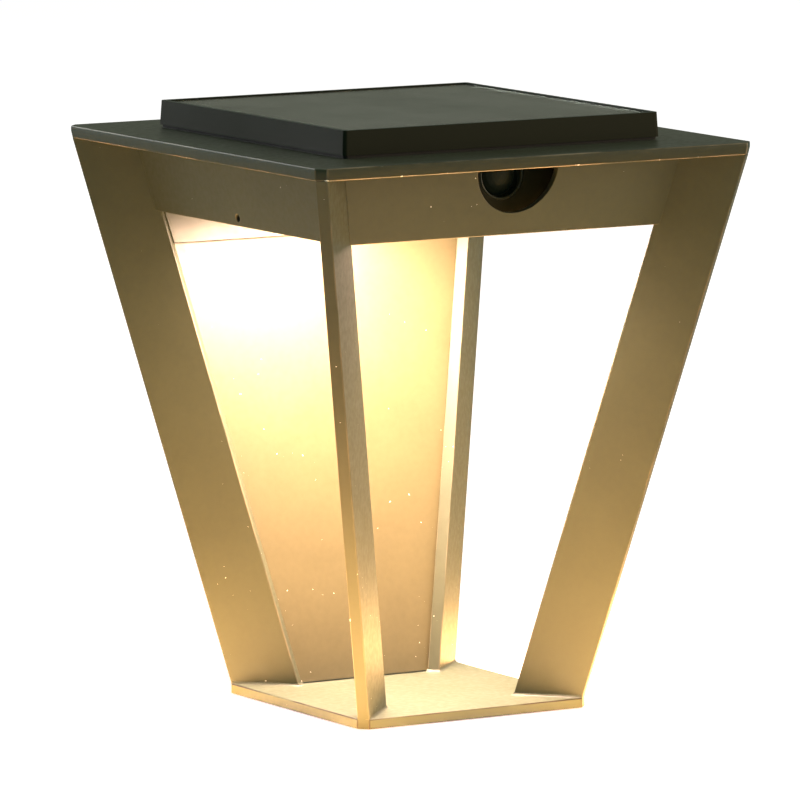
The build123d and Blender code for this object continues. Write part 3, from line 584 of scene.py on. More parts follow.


# thinCoatAndEdgeShadingColour goes on the rounded edges: partly a thin coat, partly painted light;
# a pale colour makes a painted highlight there, a dark one a painted shade
def coatedMetal(name, colour, roughness=0.46, mottle=0.1, flecks=0.05, thinningAndEdgeShading=0.0, chips=0.0,
                dust=0.3, grainDepth=0.03, thinCoatAndEdgeShadingColour=(0.30, 0.22, 0.15, 1)):
    material, tree, shader = startMaterial(name, 0.4)
    grain = placeGroup(tree, "grain", Coat_Colour=colour, Mottle=mottle, Flecks=flecks,
                       Roughness=roughness)
    # the pale film on faces that look up is partly dust and partly a painted sheen
    dustyAndSheened = placeGroup(tree, "dust", Surface_Colour=grain["Colour"],
                       Dust_Colour=(0.20, 0.22, 0.18, 1), Amount=dust)
    wornAndShaded = placeGroup(tree, "wear", Surface_Colour=dustyAndSheened["Colour"], Thin_Colour=thinCoatAndEdgeShadingColour,
                      Thinning=thinningAndEdgeShading, Chips=chips)
    feedAll(tree, shader, Base_Color=wornAndShaded["Colour"], Roughness=grain["Roughness"])
    addBump(tree, shader, grain["Height"], 0.2, grainDepth)
    return material


def mouldedPlastic(name, colour, roughness, specular, variation=0.12, depth=0.03, dust=0.0,
                   thinningAndEdgeShading=0.0):
    material, tree, shader = startMaterial(name, specular)
    grain = placeGroup(tree, "mould", Plastic_Colour=colour, Roughness=roughness,
                       Variation=variation)
    dustyAndSheened = placeGroup(tree, "dust", Surface_Colour=grain["Colour"], Amount=dust)
    # The pale edge colour (0.22, 0.24, 0.2) is a painted highlight along the rounded edges
    wornAndShaded = placeGroup(tree, "wear", Surface_Colour=dustyAndSheened["Colour"],
                      Thin_Colour=(0.22, 0.24, 0.2, 1), Thinning=thinningAndEdgeShading, Chips=0.0)
    feedAll(tree, shader, Base_Color=wornAndShaded["Colour"], Roughness=grain["Roughness"])
    addBump(tree, shader, grain["Height"], 0.4, depth)
    return material


# Plated steel: drawn lines along the height, and dull clouds
steelLook = {
    "stretch": (1, 1, 0.05), "lineScale": 900.0, "cloudScale": 60.0, "dulling": 0.72,
    "cloudRange": (0.35, 0.7), "lineRange": (0.3, 0.7), "streaks": 0.12}


def platedSteel(name, colour, roughness, look=steelLook):
    material, tree, shader = startMaterial(name, Metallic=1.0)
    place = objectPlace(tree)
    drawn = addNode(tree, "Mapping", {"Vector": place, "Scale": look["stretch"]})[0]
    lines = addNoise(tree, drawn, look["lineScale"])
    cloud = addRange(tree, addNoise(tree, place, look["cloudScale"], 3.0), *look["cloudRange"])
    dull = tuple(c * look["dulling"] for c in colour[:3]) + (1,)
    rough = addRange(tree, lines, *look["lineRange"], roughness - look["streaks"] / 2,
                     roughness + look["streaks"])
    feedAll(tree, shader, Base_Color=addMix(tree, cloud, colour, dull), Roughness=rough)
    addBump(tree, shader, lines, 0.25, 0.02)
    return material


finishes = {
    # the pale rounded edges of frameCoat are partly a painted highlight
    "frameCoat": coatedMetal("frameCoat", (0.046, 0.050, 0.029, 1), flecks=0.1, thinningAndEdgeShading=0.25,
                             chips=0.2, grainDepth=0.04),
    # Painted shade: a darker copy of the frame paint for the head, which stands in shade; its pale
    # edges are partly a painted highlight
    "headCoatPaintedShade": coatedMetal("headCoatPaintedShade", (0.027, 0.028, 0.011, 1), 0.38, flecks=0.0, thinningAndEdgeShading=0.5,
                            chips=0.8, dust=0.15, grainDepth=0.025),
    # Painted light and shade: a copy of the frame paint toned to the lit foot, with a dark painted
    # shade along its rounded edges
    "footCoatPaintedLightAndShade": coatedMetal("footCoatPaintedLightAndShade", (0.046, 0.054, 0.026, 1), mottle=0.04, thinningAndEdgeShading=1.6,
                            thinCoatAndEdgeShadingColour=(0.02, 0.012, 0.006, 1)),
    # Painted highlight: a lighter copy of the frame paint, for the bead line of the foot welds
    "weldCoatPaintedHighlight": coatedMetal("weldCoatPaintedHighlight", (0.075, 0.080, 0.055, 1), flecks=0.12, mottle=0.3,
                            grainDepth=0.15),
    # Painted light: a lighter, warmer copy of the frame paint for the back panel, which the lamp
    # lights
    "panelCoatPaintedLight": coatedMetal("panelCoatPaintedLight", (0.068, 0.058, 0.028, 1), 0.42, flecks=0.13),
    # its pale top rim is a painted highlight
    "modulePlastic": mouldedPlastic("modulePlastic", (0.0155, 0.0155, 0.0075, 1), 0.55, 0.09,
                                    thinningAndEdgeShading=0.5, dust=0.2),
    "coverPlastic": mouldedPlastic("coverPlastic", (0.02, 0.021, 0.018, 1), 0.5, 0.3),
    "glossPlastic": mouldedPlastic("glossPlastic", (0.03, 0.032, 0.018, 1), 0.24, 0.35, depth=0.01),
    "lensPlastic": mouldedPlastic("lensPlastic", (0.026, 0.028, 0.016, 1), 0.42, 0.15, depth=0.01),
    "buttonPlastic": mouldedPlastic("buttonPlastic", (0.035, 0.035, 0.034, 1), 0.55, 0.4),
    "bracketZinc": platedSteel("bracketZinc", (0.62, 0.63, 0.62, 1), 0.38),
    "screwSteel": platedSteel("screwSteel", (0.5, 0.5, 0.49, 1), 0.28),
    "grubSteel": platedSteel("grubSteel", (0.03, 0.03, 0.03, 1), 0.4),
}
print("finishes made")


# Top plate: square with cut corners, a straight land above and sides that lean in below it
topPlate = {
    "size": 200, "low": 224, "high": 229, "land": 2, "lean": 0.208, "cutCorner": 3.5355,
    "cornerInset": 2.5, "opening": 68.89, "openingRound": 2, "edgeRound": 0.45}


def makeTopPlate(values):
    half, gap = values["size"] / 2, values["opening"]
    piece = startSlab("topPlateCoated", half, values["low"], values["high"])
    roundEdges(piece, upright, values["cutCorner"], 1)
    landHeight = values["high"] - values["land"]
    cornerReach = values["size"] / math.sqrt(2) - values["cornerInset"]
    for step in range(8):  # the four sides and the four corners between them
        reach = half if step % 2 == 0 else cornerReach
        way = Vector((math.cos(step * math.pi / 4), math.sin(step * math.pi / 4), -values["lean"]))
        trim(piece, (way.x * reach, way.y * reach, landHeight), way)
    cutter = startSlab("cutter", gap, values["low"] - past, values["high"] + past)
    roundEdges(cutter, upright, values["openingRound"], 4)
    combine(piece, cutter)
    soften(piece, values["edgeRound"], lambda a, b: max(abs(a.x), abs(a.y)) > gap + past)
    smooth(piece)
    # the top plate takes the darker copy of the coat, a painted shade
    coat(piece, "headCoatPaintedShade", "top_plate")


makeTopPlate(topPlate)

# Foot plate
footPlate = {"size": 106.4, "thickness": 4, "cutCorner": 3.5355, "edgeRound": 0.45, "longEdge": 20}


def makeFootPlate(values):
    piece = startSlab("footPlateCoated", values["size"] / 2, 0, values["thickness"])
    roundEdges(piece, upright, values["cutCorner"], 1)
    # the cut corners run straight into the blades, so the short edges above them stay sharp
    soften(piece, values["edgeRound"],
           lambda a, b: upright(a, b) or (a - b).length > values["longEdge"] or a.z < 1)
    smooth(piece)
    coat(piece, "footCoatPaintedLightAndShade", "base_plate")


makeFootPlate(footPlate)

# Blades: one is modelled along +x from the axis, and four copies are turned to the corners.
# Below the foot plate's top they run on down its cut corners.
blade = {
    "thickness": 5, "low": 0.3, "footTop": 4, "high": 224, "footOuter": 72.736, "footInner": 44.346,
    "headOuter": 138.297, "headInner": 109.487, "footOverlap": 0.02, "edgeRound": 0.45}
bladeCorners = {
    "blade_front_right": -45, "blade_rear_right": 45, "blade_rear_left": 135,
    "blade_front_left": -135}


def sideWords(node):  # blade_rear_left gives RearLeft
    return "".join(word.capitalize() for word in node.split("_")[1:])


def makeBlades(values):
    side, footTop = values["thickness"] / 2, values["footTop"]
    inner, outer = values["footInner"], values["footOuter"]
    middle = (inner + outer) / 2
    first = startBlock("bladeModel", (inner, -side, values["low"]), (outer, side, values["high"]))
    ringAt(first, footTop)
    slide(first, lambda p: p.z > footTop + 1 and p.x > middle, x=values["headOuter"] - outer)
    slide(first, lambda p: p.z > footTop + 1 and p.x < middle, x=values["headInner"] - inner)
    slide(first, lambda p: p.z < footTop - 1 and p.x > middle, x=values["footOverlap"])
    roundEdges(first, upright, values["edgeRound"], 3)
    markRim(first, values["edgeRound"])
    smooth(first)
    for node, degrees in bladeCorners.items():
        piece = turned(first, "blade" + sideWords(node) + "Coated", degrees)
        coat(piece, "frameCoat", node)
    bpy.data.objects.remove(first)


makeBlades(blade)


# Skirts: leaning sheets whose ends are cut to the blades' sides
skirt = {
    "reach": 120, "low": 195.5, "high": 224, "faceLow": 75.051, "faceHigh": 81.019, "depth": 3.0653,
    "bladeGap": 2.5, "edgeRound": 0.35, "endDrop": 12, "windowRadius": 18.5, "windowHeight": 222.8,
    "windowOffset": 2, "screwHoleRadius": 1.55, "screwHeight": 198.9, "screwOffset": 4.5,
    "cutFrom": 60, "cutTo": 100}


def makeLeaningSheet(name, values):  # the front one; its outer face looks towards -y
    face, reach = -values["faceLow"], values["reach"]
    sheet = startBlock(name, (-reach, face, values["low"]),
                       (reach, face + values["depth"], values["high"]))
    middle = (values["low"] + values["high"]) / 2
    slide(sheet, lambda p: p.z > middle, y=values["faceLow"] - values["faceHigh"])
    for sideways in (1, -1):
        inward = Vector((-sideways, -1, 0)) / math.sqrt(2)
        trim(sheet, inward * values["bladeGap"], -inward)
    return sheet


def makeSkirts(values):
    near, far = values["cutFrom"], values["cutTo"]
    pieces = {"skirt_front": makeLeaningSheet("skirtFrontCoated", values)}
    x, height = values["windowOffset"], values["windowHeight"]
    bore(pieces["skirt_front"], (x, -far, height), (x, -near, height), values["windowRadius"], 96)
    model = makeLeaningSheet("skirtSideModel", values)
    y, height = values["screwOffset"], values["screwHeight"]
    for node, degrees, side in (("skirt_right", 90, 1), ("skirt_left", -90, -1)):
        pieces[node] = turned(model, "skirt" + sideWords(node) + "Coated", degrees)
        bore(pieces[node], (side * near, y, height), (side * far, y, height),
             values["screwHoleRadius"], 24)
    bpy.data.objects.remove(model)
    for node, piece in pieces.items():  # the ends that meet the blades stay sharp
        soften(piece, values["edgeRound"], lambda a, b: abs(a.z - b.z) < values["endDrop"])
        smooth(piece)
        coat(piece, "frameCoat", node)


makeSkirts(skirt)

# Rear skirt: stands before the panel and fits round the inner edges of the rear blades
rearSkirt = {
    "reach": 90, "low": 182.3, "high": 224, "faceLow": 68.323, "faceHigh": 77.054, "depth": 3.0653,
    "bladeGap": 2.5, "edgeRound": 0.35, "longEdge": 60, "screwPlace": 24, "screwHeight": 196,
    "holeRadius": 2.05, "holeDepth": 8, "headRadius": 3.65, "headDepth": 1.7}


def makeRearSkirt(values):
    low, high, face = values["low"], values["high"], values["faceLow"]
    reach, gap = values["reach"], values["bladeGap"]
    sheet = startBlock("skirtRearCoated", (-reach, face, low),
                       (reach, face + values["depth"], high))
    slide(sheet, lambda p: p.z > (low + high) / 2, y=values["faceHigh"] - face)
    for sideways in (1, -1):
        outward = (sideways / math.sqrt(2), -math.sqrt(0.5), 0)
        trim(sheet, (-sideways * gap, -gap, 0), outward)
    for bladeName in ("bladeRearRightCoated", "bladeRearLeftCoated"):
        combine(sheet, copied(bpy.data.objects[bladeName], "cutter"))
    lean = (values["faceHigh"] - face) / (high - low)
    out = Vector((0, -1, lean)).normalized()
    height = values["screwHeight"]
    for side in (1, -1):
        middle = Vector((side * values["screwPlace"], face + lean * (height - low), height))
        for kind in ("hole", "head"):
            bore(sheet, middle + out * past, middle - out * values[kind + "Depth"],
                 values[kind + "Radius"], 36)
    soften(sheet, values["edgeRound"],
           lambda a, b: (a - b).length > values["longEdge"] and max(a.z, b.z) < low + 1)
    smooth(sheet)
    coat(sheet, "frameCoat", "skirt_rear")


makeRearSkirt(rearSkirt)
print("frame pieces made")


# Painted weld fillets where each blade stands on the foot, and along the ends of the skirts.
# Each foot step is a share of the rise, and the share of the leg that is left there.
weld = {
    "footLeg": 0.9, "footRise": 1.0, "footSteps": ((0.35, 0.42), (1, 0.04)), "bladeLean": 0.3,
    "seamRadius": 1.3, "seamFlatness": 0.5, "seamTurn": 22.5, "seamGap": 3.536, "seamLow": 0.3,
    "seamHigh": 0.1, "ripple": 0.3, "rippleSize": 0.0022, "smoothing": 60}


def rippled(piece, values):
    texture = bpy.data.textures.new(piece.name + "Ripple", "CLOUDS")
    texture.noise_scale = values["rippleSize"]
    finishWith(piece, "DISPLACE", texture=texture, texture_coords="GLOBAL",
               strength=values["ripple"] / perMetre, mid_level=0.5)
    smooth(piece, values["smoothing"], False)


def makeFootWelds(values, bladeValues, footValues):
    side, leg = bladeValues["thickness"] / 2, values["footLeg"]
    low, rise = footValues["thickness"], values["footRise"]
    inner, outer = bladeValues["footInner"], bladeValues["footOuter"]
    first = startBlock("footWeldModel", (inner - leg, -side - leg, low),
                       (outer, side + leg, low + rise))
    reach = footValues["size"] / 2 * math.sqrt(0.5)
    for mirror in (1, -1):  # nothing stands out over the foot plate's sides
        trim(first, (reach, mirror * reach, low), (1, mirror, 0))
    for step, left in values["footSteps"]:
        height = low + step * rise
        if step < 1:
            ringAt(first, height)
        editWith(first, "VERT", lambda p: abs(p.z - height) < close)
        share = (side + leg * left) / (side + leg)
        bpy.ops.transform.resize(value=(1, share, 1), center_override=spot(0, 0, height))
        endEdit()
        slide(first, lambda p: abs(p.z - height) < close and p.x < inner,
              x=leg * (1 - left) + values["bladeLean"] * (height - low))
    divide(first, lambda facing: abs(facing.z) < 0.97, 3)
    rippled(first, values)
    for node, degrees in bladeCorners.items():
        piece = turned(first, "footWeld" + sideWords(node), degrees)
        # the foot welds take the lighter copy of the coat, a painted highlight
        coat(piece, "weldCoatPaintedHighlight")
    bpy.data.objects.remove(first)


def makeSeamWelds(values, sheet):
    gap, turn = values["seamGap"], math.radians(values["seamTurn"])
    rods = []
    for mirror in (1, -1):
        start, end = (Vector((mirror * (face - gap), -face, height)) for face, height in (
            (sheet["faceLow"], sheet["low"] + values["seamLow"]),
            (sheet["faceHigh"], sheet["high"] - values["seamHigh"])))
        rod = startRod("seamWeldModel", start, end, values["seamRadius"], 14)
        divide(rod, everyFace, 1)
        away = Vector((-mirror * math.sin(turn), -math.cos(turn), 0))
        centre = Matrix.Translation(spot(*(start + end) / 2))
        flat = Matrix.Scale(values["seamFlatness"], 4, away)
        rod.matrix_world = centre @ flat @ centre.inverted()
        rods.append(settle(rod))
    pair = joinAll(*rods)
    rippled(pair, values)
    for side, degrees in (("Front", 0), ("Right", 90), ("Left", -90)):
        piece = turned(pair, "seamWelds" + side, degrees)
        coat(piece, "frameCoat")
    bpy.data.objects.remove(pair)


makeFootWelds(weld, blade, footPlate)
makeSeamWelds(weld, skirt)


def onLine(y, height):  # a test for the edges that run across at this place
    return lambda a, b: max(math.hypot(p.y - y, p.z - height) for p in (a, b)) < close


# Hooks of the hanger and the bracket: an upright lip and a level shelf, each given by two corners
# in y and height, joined and bent where they meet
def makeHook(values, lip, shelf, outerBend, innerBend):
    half = values["half"]
    hook, ledge = (startBlock("hookBlock", (-half, *low), (half, *high))
                   for low, high in (lip, shelf))
    combine(hook, ledge, "UNION")
    roundEdges(hook, onLine(*outerBend), values["outerBend"], 6)
    roundEdges(hook, onLine(*innerBend), values["innerBend"], 4)
    return hook


# Hanger: a strip bent twice, screwed to the leaning panel, whose lip hooks down into the bracket
hanger = {
    "half": 38, "low": 190, "high": 212, "backLow": 75.04, "backHigh": 79.65, "sheet": 2.5,
    "leanExtra": 0.053, "cornerRound": 3, "shelf": 203.5, "shelfStart": 78.45, "lipOuter": 96.5,
    "lipLow": 189.5, "outerBend": 3.2, "innerBend": 1.0, "edgeRound": 0.35}


def makeHanger(values):
    half, sheet, back = values["half"], values["sheet"], values["backLow"]
    shelf, outer = values["shelf"], values["lipOuter"]
    piece = startBlock("hangerBent", (-half, back, values["low"]),
                       (half, back + sheet + values["leanExtra"], values["high"]))
    slide(piece, lambda p: p.z > values["low"] + 1, y=values["backHigh"] - back)
    roundEdges(piece, throughPlate, values["cornerRound"], 5)
    hook = makeHook(values, ((outer - sheet, values["lipLow"]), (outer, shelf + sheet)),
                    ((values["shelfStart"], shelf), (outer - 0.5, shelf + sheet)),
                    (outer, shelf + sheet), (outer - sheet, shelf))
    combine(piece, hook, "UNION")
    soften(piece, values["edgeRound"], steps=2, sharper=50)
    smooth(piece)
    finishPiece(piece, "lamp", "bracket_steel", finishes["bracketZinc"], "hanger_plate")


makeHanger(hanger)

# Wall bracket: a plate with two screw holes and a bent hook along its middle
bracket = {
    "half": 40, "low": 166, "high": 208, "wall": 100, "plate": 3, "cornerRound": 4,
    "holeSpacing": 56, "holeRadius": 2.5, "holeHeight": 176, "shelf": 186, "sheet": 2.5,
    "lipInner": 91, "lipTop": 203.5, "outerBend": 3.2, "innerBend": 1.0, "edgeRound": 0.35,
    "cutFrom": 90, "cutTo": 105}


def makeBracket(values):
    half, sheet, wall = values["half"], values["sheet"], values["wall"]
    front, shelf, inner = wall - values["plate"], values["shelf"], values["lipInner"]
    plate = startBlock("wallBracketZinc", (-half, front, values["low"]),
                       (half, wall, values["high"]))
    roundEdges(plate, throughPlate, values["cornerRound"], 6)
    hook = makeHook(values, ((inner, shelf), (inner + sheet, values["lipTop"])),
                    ((inner + 0.5, shelf), (front + 0.5, shelf + sheet)),
                    (inner, shelf), (inner + sheet, shelf + sheet))
    combine(plate, hook, "UNION")
    for side in (1, -1):
        x, height = side * values["holeSpacing"] / 2, values["holeHeight"]
        bore(plate, (x, values["cutFrom"], height), (x, values["cutTo"], height),
             values["holeRadius"], 32)
    soften(plate, values["edgeRound"], steps=2, sharper=50)
    smooth(plate)
    finishPiece(plate, "bracket", "bracket_steel", finishes["bracketZinc"], "wall_bracket")


makeBracket(bracket)
print("hanger and bracket made")

# Solar module: a tub below a drafted flange, with a recess for the glass
moduleHousing = {
    "bodyHalf": 68.088, "bodyLow": 197.5, "bodyRound": 1.2, "flangeLow": 230.2,
    "flangeHalf": 72.788, "flangeTopHalf": 72.288, "flangeRound": 1.5, "top": 240, "rim": 2,
    "recessFloor": 235, "ceiling": 233, "wall": 2.5, "edgeRound": 0.5, "sensorHole": 10.0,
    "sensorHeight": 218.5, "sensorOffset": 2, "cutFrom": -90, "cutTo": -50}


def makeHousing(values):
    half, low, top = values["flangeHalf"], values["bodyLow"], values["top"]
    flange = startSlab("moduleHousingMoulded", half, values["flangeLow"], top)
    roundEdges(flange, upright, values["flangeRound"], 4)
    editWith(flange, "FACE", lambda facing: facing.z > 0.9)
    share = values["flangeTopHalf"] / half
    bpy.ops.transform.resize(value=(share, share, 1), center_override=spot(0, 0, top))
    insetPicked(values["rim"])
    extrudePicked(z=values["recessFloor"] - top)
    endEdit()
    tub = startSlab("tubBlock", values["bodyHalf"], low, values["flangeLow"] + 1)
    roundEdges(tub, upright, values["bodyRound"], 4)
    combine(flange, tub, "UNION")
    inside = values["bodyHalf"] - values["wall"]
    combine(flange, startSlab("cutter", inside, low - past, values["ceiling"]))
    x, height = values["sensorOffset"], values["sensorHeight"]
    bore(flange, (x, values["cutFrom"], height), (x, values["cutTo"], height),
         values["sensorHole"], 64)
    soften(flange, values["edgeRound"], lambda a, b: min(a.z, b.z) > top - close)
    smooth(flange)
    finishPiece(flange, "module", "black_plastic", finishes["modulePlastic"], "module_housing")


makeHousing(moduleHousing)
print("module housing made")

# Solar face: satin cover glass over the cells
solarGlass = {
    "half": 70.088, "low": 236.65, "high": 239.5, "edgeRound": 0.35, "tint": (0.62, 0.68, 0.58, 1),
    "roughness": 0.13, "grainScale": 900.0, "variation": 0.03, "dustAndSheenColour": (0.42, 0.46, 0.38, 1),
    "dust": 0.25, "dustScale": 20.0, "dustRoughness": 0.35}


def makeGlass(values):
    piece = startSlab("solarCoverGlass", values["half"], values["low"], values["high"])
    soften(piece, values["edgeRound"], steps=2)
    smooth(piece)
    material, tree, shader = startMaterial("satinGlass", 0.45, Transmission_Weight=1.0, IOR=1.45)
    grain = placeGroup(tree, "mould", Plastic_Colour=values["tint"], Roughness=values["roughness"],
                       Grain_Scale=values["grainScale"], Variation=values["variation"])
    # On the glass the film is partly dust and partly a painted sheen, standing in for the hazy
    # reflection on the solar face
    dustyAndSheened = placeGroup(tree, "dust", Surface_Colour=grain["Colour"], Amount=values["dust"],
                       Dust_Colour=values["dustAndSheenColour"], Patch_Scale=values["dustScale"])
    rough = addMath(tree, "ADD", grain["Roughness"],
                    times(tree, dustyAndSheened["Dust"], values["dustRoughness"]))
    feedAll(tree, shader, Base_Color=dustyAndSheened["Colour"], Roughness=rough)
    addBump(tree, shader, grain["Height"], 0.2, 0.02)
    finishPiece(piece, "module", "solar_glass", material, "solar_glass")


makeGlass(solarGlass)

# Cells: dark silicon strips, each with fine silver fingers and one wide bar
cellLook = {
    "pitch": 22.23, "first": -66.09, "barShift": 0.6, "barWidth": 1.0, "fingerPitch": 1.7,
    "fingerWidth": 0.16, "silicon": (0.016, 0.022, 0.036, 1), "silver": (0.6, 0.62, 0.6, 1),
    "crystalScale": 180.0, "crystalGain": 1.9}


def makeCellFinish(values):
    material, tree, shader = startMaterial("siliconCells", Roughness=0.28, Coat_Weight=0.4,
                                           Coat_Roughness=0.1)
    place = objectPlace(tree)
    axes = addNode(tree, "SeparateXYZ", {0: place})
    x, y = (times(tree, axes[name], float(perMetre)) for name in ("X", "Y"))
    halfPitch = values["pitch"] / 2
    start = values["first"] + halfPitch - values["barShift"]
    share = addMath(tree, "PINGPONG", addMath(tree, "SUBTRACT", x, start), halfPitch)
    bar = addMath(tree, "LESS_THAN", share, values["barWidth"] / 2)
    share = addMath(tree, "PINGPONG", y, values["fingerPitch"] / 2)
    finger = addMath(tree, "LESS_THAN", share, values["fingerWidth"] / 2)
    metal = addMath(tree, "MAXIMUM", bar, finger)
    crystals = addNode(tree, "TexVoronoi", {"Vector": place, "Scale": values["crystalScale"]})
    draw = addNode(tree, "SeparateColor", {0: crystals["Color"]})[0]
    brighter = tuple(c * values["crystalGain"] for c in values["silicon"][:3]) + (1,)
    silicon = addMix(tree, draw, values["silicon"], brighter)
    feedAll(tree, shader, Base_Color=addMix(tree, metal, silicon, values["silver"]))
    addBump(tree, shader, metal, 0.3, 0.02)
    return material


# Lamp cover: an opal plate that bows out a little, with soft brighter spots below the diodes
lampCover = {
    "half": 41.788, "low": 198.0, "high": 200.4, "lipHalf": 43.988, "lipLow": 200.0,
    "lipHigh": 201.5, "cornerRound": 4, "rim": 3.0, "bow": 0.45, "diodePitch": 16.33,
    "betweenSpots": 0.88, "opal": (0.82, 0.80, 0.74, 1), "tint": (1.0, 0.68, 0.50), "level": 150.0,
    "beamDrop": 1.5, "beamWatts": 1.6, "beamSpread": 160}


def makeOpalLit(values):
    material, tree, shader = startMaterial("opalLit", 0.4, Emission_Strength=values["level"])
    grain = placeGroup(tree, "mould", Plastic_Colour=values["opal"], Grain_Scale=1200.0,
                       Roughness=0.5, Variation=0.03)
    axes = addNode(tree, "SeparateXYZ", {0: objectPlace(tree)})
    waves = []
    for axis, shift in (("X", 0.0), ("Y", -lampAxis.y)):
        fromMiddle = addMath(tree, "ADD", axes[axis], shift)
        cycle = times(tree, fromMiddle, 2 * perMetre * math.pi / values["diodePitch"])
        waves.append(addMath(tree, "COSINE", cycle))
    spots = addRange(tree, times(tree, *waves), -1, 1, values["betweenSpots"], 1.0)
    lit = times(tree, spots, addMath(tree, "LESS_THAN", facingUp(tree), -0.2))
    feedAll(tree, shader, Base_Color=grain["Colour"], Roughness=grain["Roughness"],
            Emission_Color=scaleColour(tree, values["tint"], lit))
    return material


def makeLampCover(values):
    piece = startSlab("lampCoverOpal", values["half"], values["low"], values["high"])
    roundEdges(piece, upright, values["cornerRound"], 6)
    editWith(piece, "FACE", lambda facing: facing.z < -0.9)
    insetPicked(values["rim"])
    bpy.ops.transform.translate(value=(0, 0, -values["bow"] / perMetre))
    endEdit()
    lip = startSlab("lipBlock", values["lipHalf"], values["lipLow"], values["lipHigh"])
    roundEdges(lip, upright, values["cornerRound"], 6)
    combine(piece, lip, "UNION")
    smooth(piece)
    finishPiece(piece, "module", "opal_diffuser", makeOpalLit(values), "diffuser")
    beam = addLamp("lampBeam", "SQUARE", spot(0, 0, values["low"] - values["beamDrop"]),
                   2 * values["half"] / perMetre, values["beamWatts"], values["tint"])
    beam.data.spread = math.radians(values["beamSpread"])
    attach(beam, "module")


makeLampCover(lampCover)
print("solar face and lamp cover made")

# Motion sensor: a rounded rim flush with the module's wall, and a faceted dome set into it
sensor = {
    "x": 2, "height": 218.5, "front": -68.088, "rimOuter": 9.95, "rimInner": 9.0, "flangeOuter": 13,
    "flangeFront": -65.588, "back": -57.088, "tubeInner": 11.5, "seat": -63.588, "rimRound": 0.42,
    "boreFrom": -75, "boreTo": -63.288, "sides": 72, "domeRadius": 10.75, "domeTip": -67.888,
    "domeFlange": 11.4, "flangeDepth": 1.2, "flangeStep": 0.01, "facets": 22, "rings": 16}


def makeSensor(values):
    x, height, front, seat = values["x"], values["height"], values["front"], values["seat"]

    def rod(name, start, end, radius):
        return startRod(name, (x, start, height), (x, end, height), radius, values["sides"])

    rim = rod("sensorRim", front, seat, values["rimOuter"])
    tube = rod("tubeBlock", values["flangeFront"], values["back"], values["flangeOuter"])
    combine(rim, tube, "UNION")
    combine(rim, rod("cutter", values["boreFrom"], values["boreTo"], values["rimInner"]))
    combine(rim, rod("cutter", seat, values["back"] + past, values["tubeInner"]))
    soften(rim, values["rimRound"], lambda a, b: max(a.y, b.y) < front + close, sharper=50)
    smooth(rim)
    finishPiece(rim, "module", "black_plastic", finishes["glossPlastic"], "sensor_bezel")

    radius, tip = values["domeRadius"], values["domeTip"]
    clearSelection()
    bpy.ops.mesh.primitive_uv_sphere_add(
        segments=values["facets"], ring_count=values["rings"], radius=radius / perMetre,
        location=spot(x, tip + radius, height), rotation=(math.pi / 2, 0, 0))
    dome = settle(bpy.context.object)
    dome.name = "sensorDome"
    trim(dome, (x, seat, height), (0, 1, 0))
    share = values["domeFlange"] / math.sqrt(radius ** 2 - (radius - seat + tip) ** 2)
    editWith(dome, "FACE", lambda facing: facing.y > 0.95)
    extrudePicked(y=values["flangeStep"])
    bpy.ops.transform.resize(value=(share, 1, share), center_override=spot(x, seat, height))
    extrudePicked(y=values["flangeDepth"])
    endEdit()
    finishPiece(dome, "module", "sensor_lens", finishes["lensPlastic"], "sensor_lens")


makeSensor(sensor)

# Mode button: a soft-edged cap with a dished face, on a flange and a stem
button = {
    "x": 53.988, "tip": 196.3, "radius": 5, "capTop": 200.2, "flangeLow": 200, "flangeHigh": 201,
    "flangeRadius": 6.5, "stemRadius": 2.2, "stemLow": 200.7, "stemHigh": 203.6, "edgeRound": 0.8,
    "dish": 0.35, "dishRim": 0.8, "sides": 48}


def makeButton(values):
    def rod(name, low, high, radius):
        return startRod(name, (x, 0, low), (x, 0, high), radius, values["sides"])

    x, tip = values["x"], values["tip"]
    cap = rod("modeButtonCap", tip, values["capTop"], values["radius"])
    soften(cap, values["edgeRound"], lambda a, b: max(a.z, b.z) < tip + close, 4, 50)
    editWith(cap, "FACE", lambda facing: facing.z < -0.99)
    insetPicked(values["dishRim"])
    bpy.ops.transform.translate(value=(0, 0, values["dish"] / perMetre))
    endEdit()
    for part in ("flange", "stem"):
        low, high, radius = (values[part + word] for word in ("Low", "High", "Radius"))
        combine(cap, rod(part + "Block", low, high, radius), "UNION")
    smooth(cap)
    finishPiece(cap, "button", "switch_plastic", finishes["buttonPlastic"], "mode_button")


makeButton(button)

# Cover screws: one countersunk head with a cross recess, copied to the four corners
coverScrew = {
    "place": 58.088, "head": 197.5, "headRadius": 2.8, "headHeight": 1.7, "shankRadius": 1.5,
    "shankStart": 1, "length": 10, "slotLength": 3.2, "slotWidth": 0.7, "slotDepth": 0.9,
    "edgeRound": 0.12, "recessTurn": 7}


def makeCoverScrews(values):
    place, low = values["place"], values["head"]
    top = low + values["headHeight"]
    head = startRod("coverScrewsSteel", (place, place, low), (place, place, top),
                    values["headRadius"], 36)
    shank = startRod("shankBlock", (place, place, low + values["shankStart"]),
                     (place, place, top + values["length"]), values["shankRadius"], 24)
    combine(head, shank, "UNION")
    long, wide = values["slotLength"] / 2, values["slotWidth"] / 2
    for x, y in ((long, wide), (wide, long)):
        combine(head, startBlock("cutter", (place - x, place - y, low - past),
                                 (place + x, place + y, low + values["slotDepth"])))
    soften(head, values["edgeRound"], lambda a, b: max(a.z, b.z) < low + close, 2, 50)
    smooth(head)
    screws = []
    for step in (1, 2, 3):  # no two recesses stand at the same angle
        screw = copied(head, f"coverScrew{step}")
        recess = turnAbout(spot(place, place, 0), values["recessTurn"] * step)
        screw.matrix_world = turnAbout(lampAxis, 90 * step) @ recess
        screws.append(settle(screw))
    joinAll(head, *screws)
    finishPiece(head, "module", "screw_steel", finishes["screwSteel"], "cover_screws")


makeCoverScrews(coverScrew)
print("sensor, button and screws made")


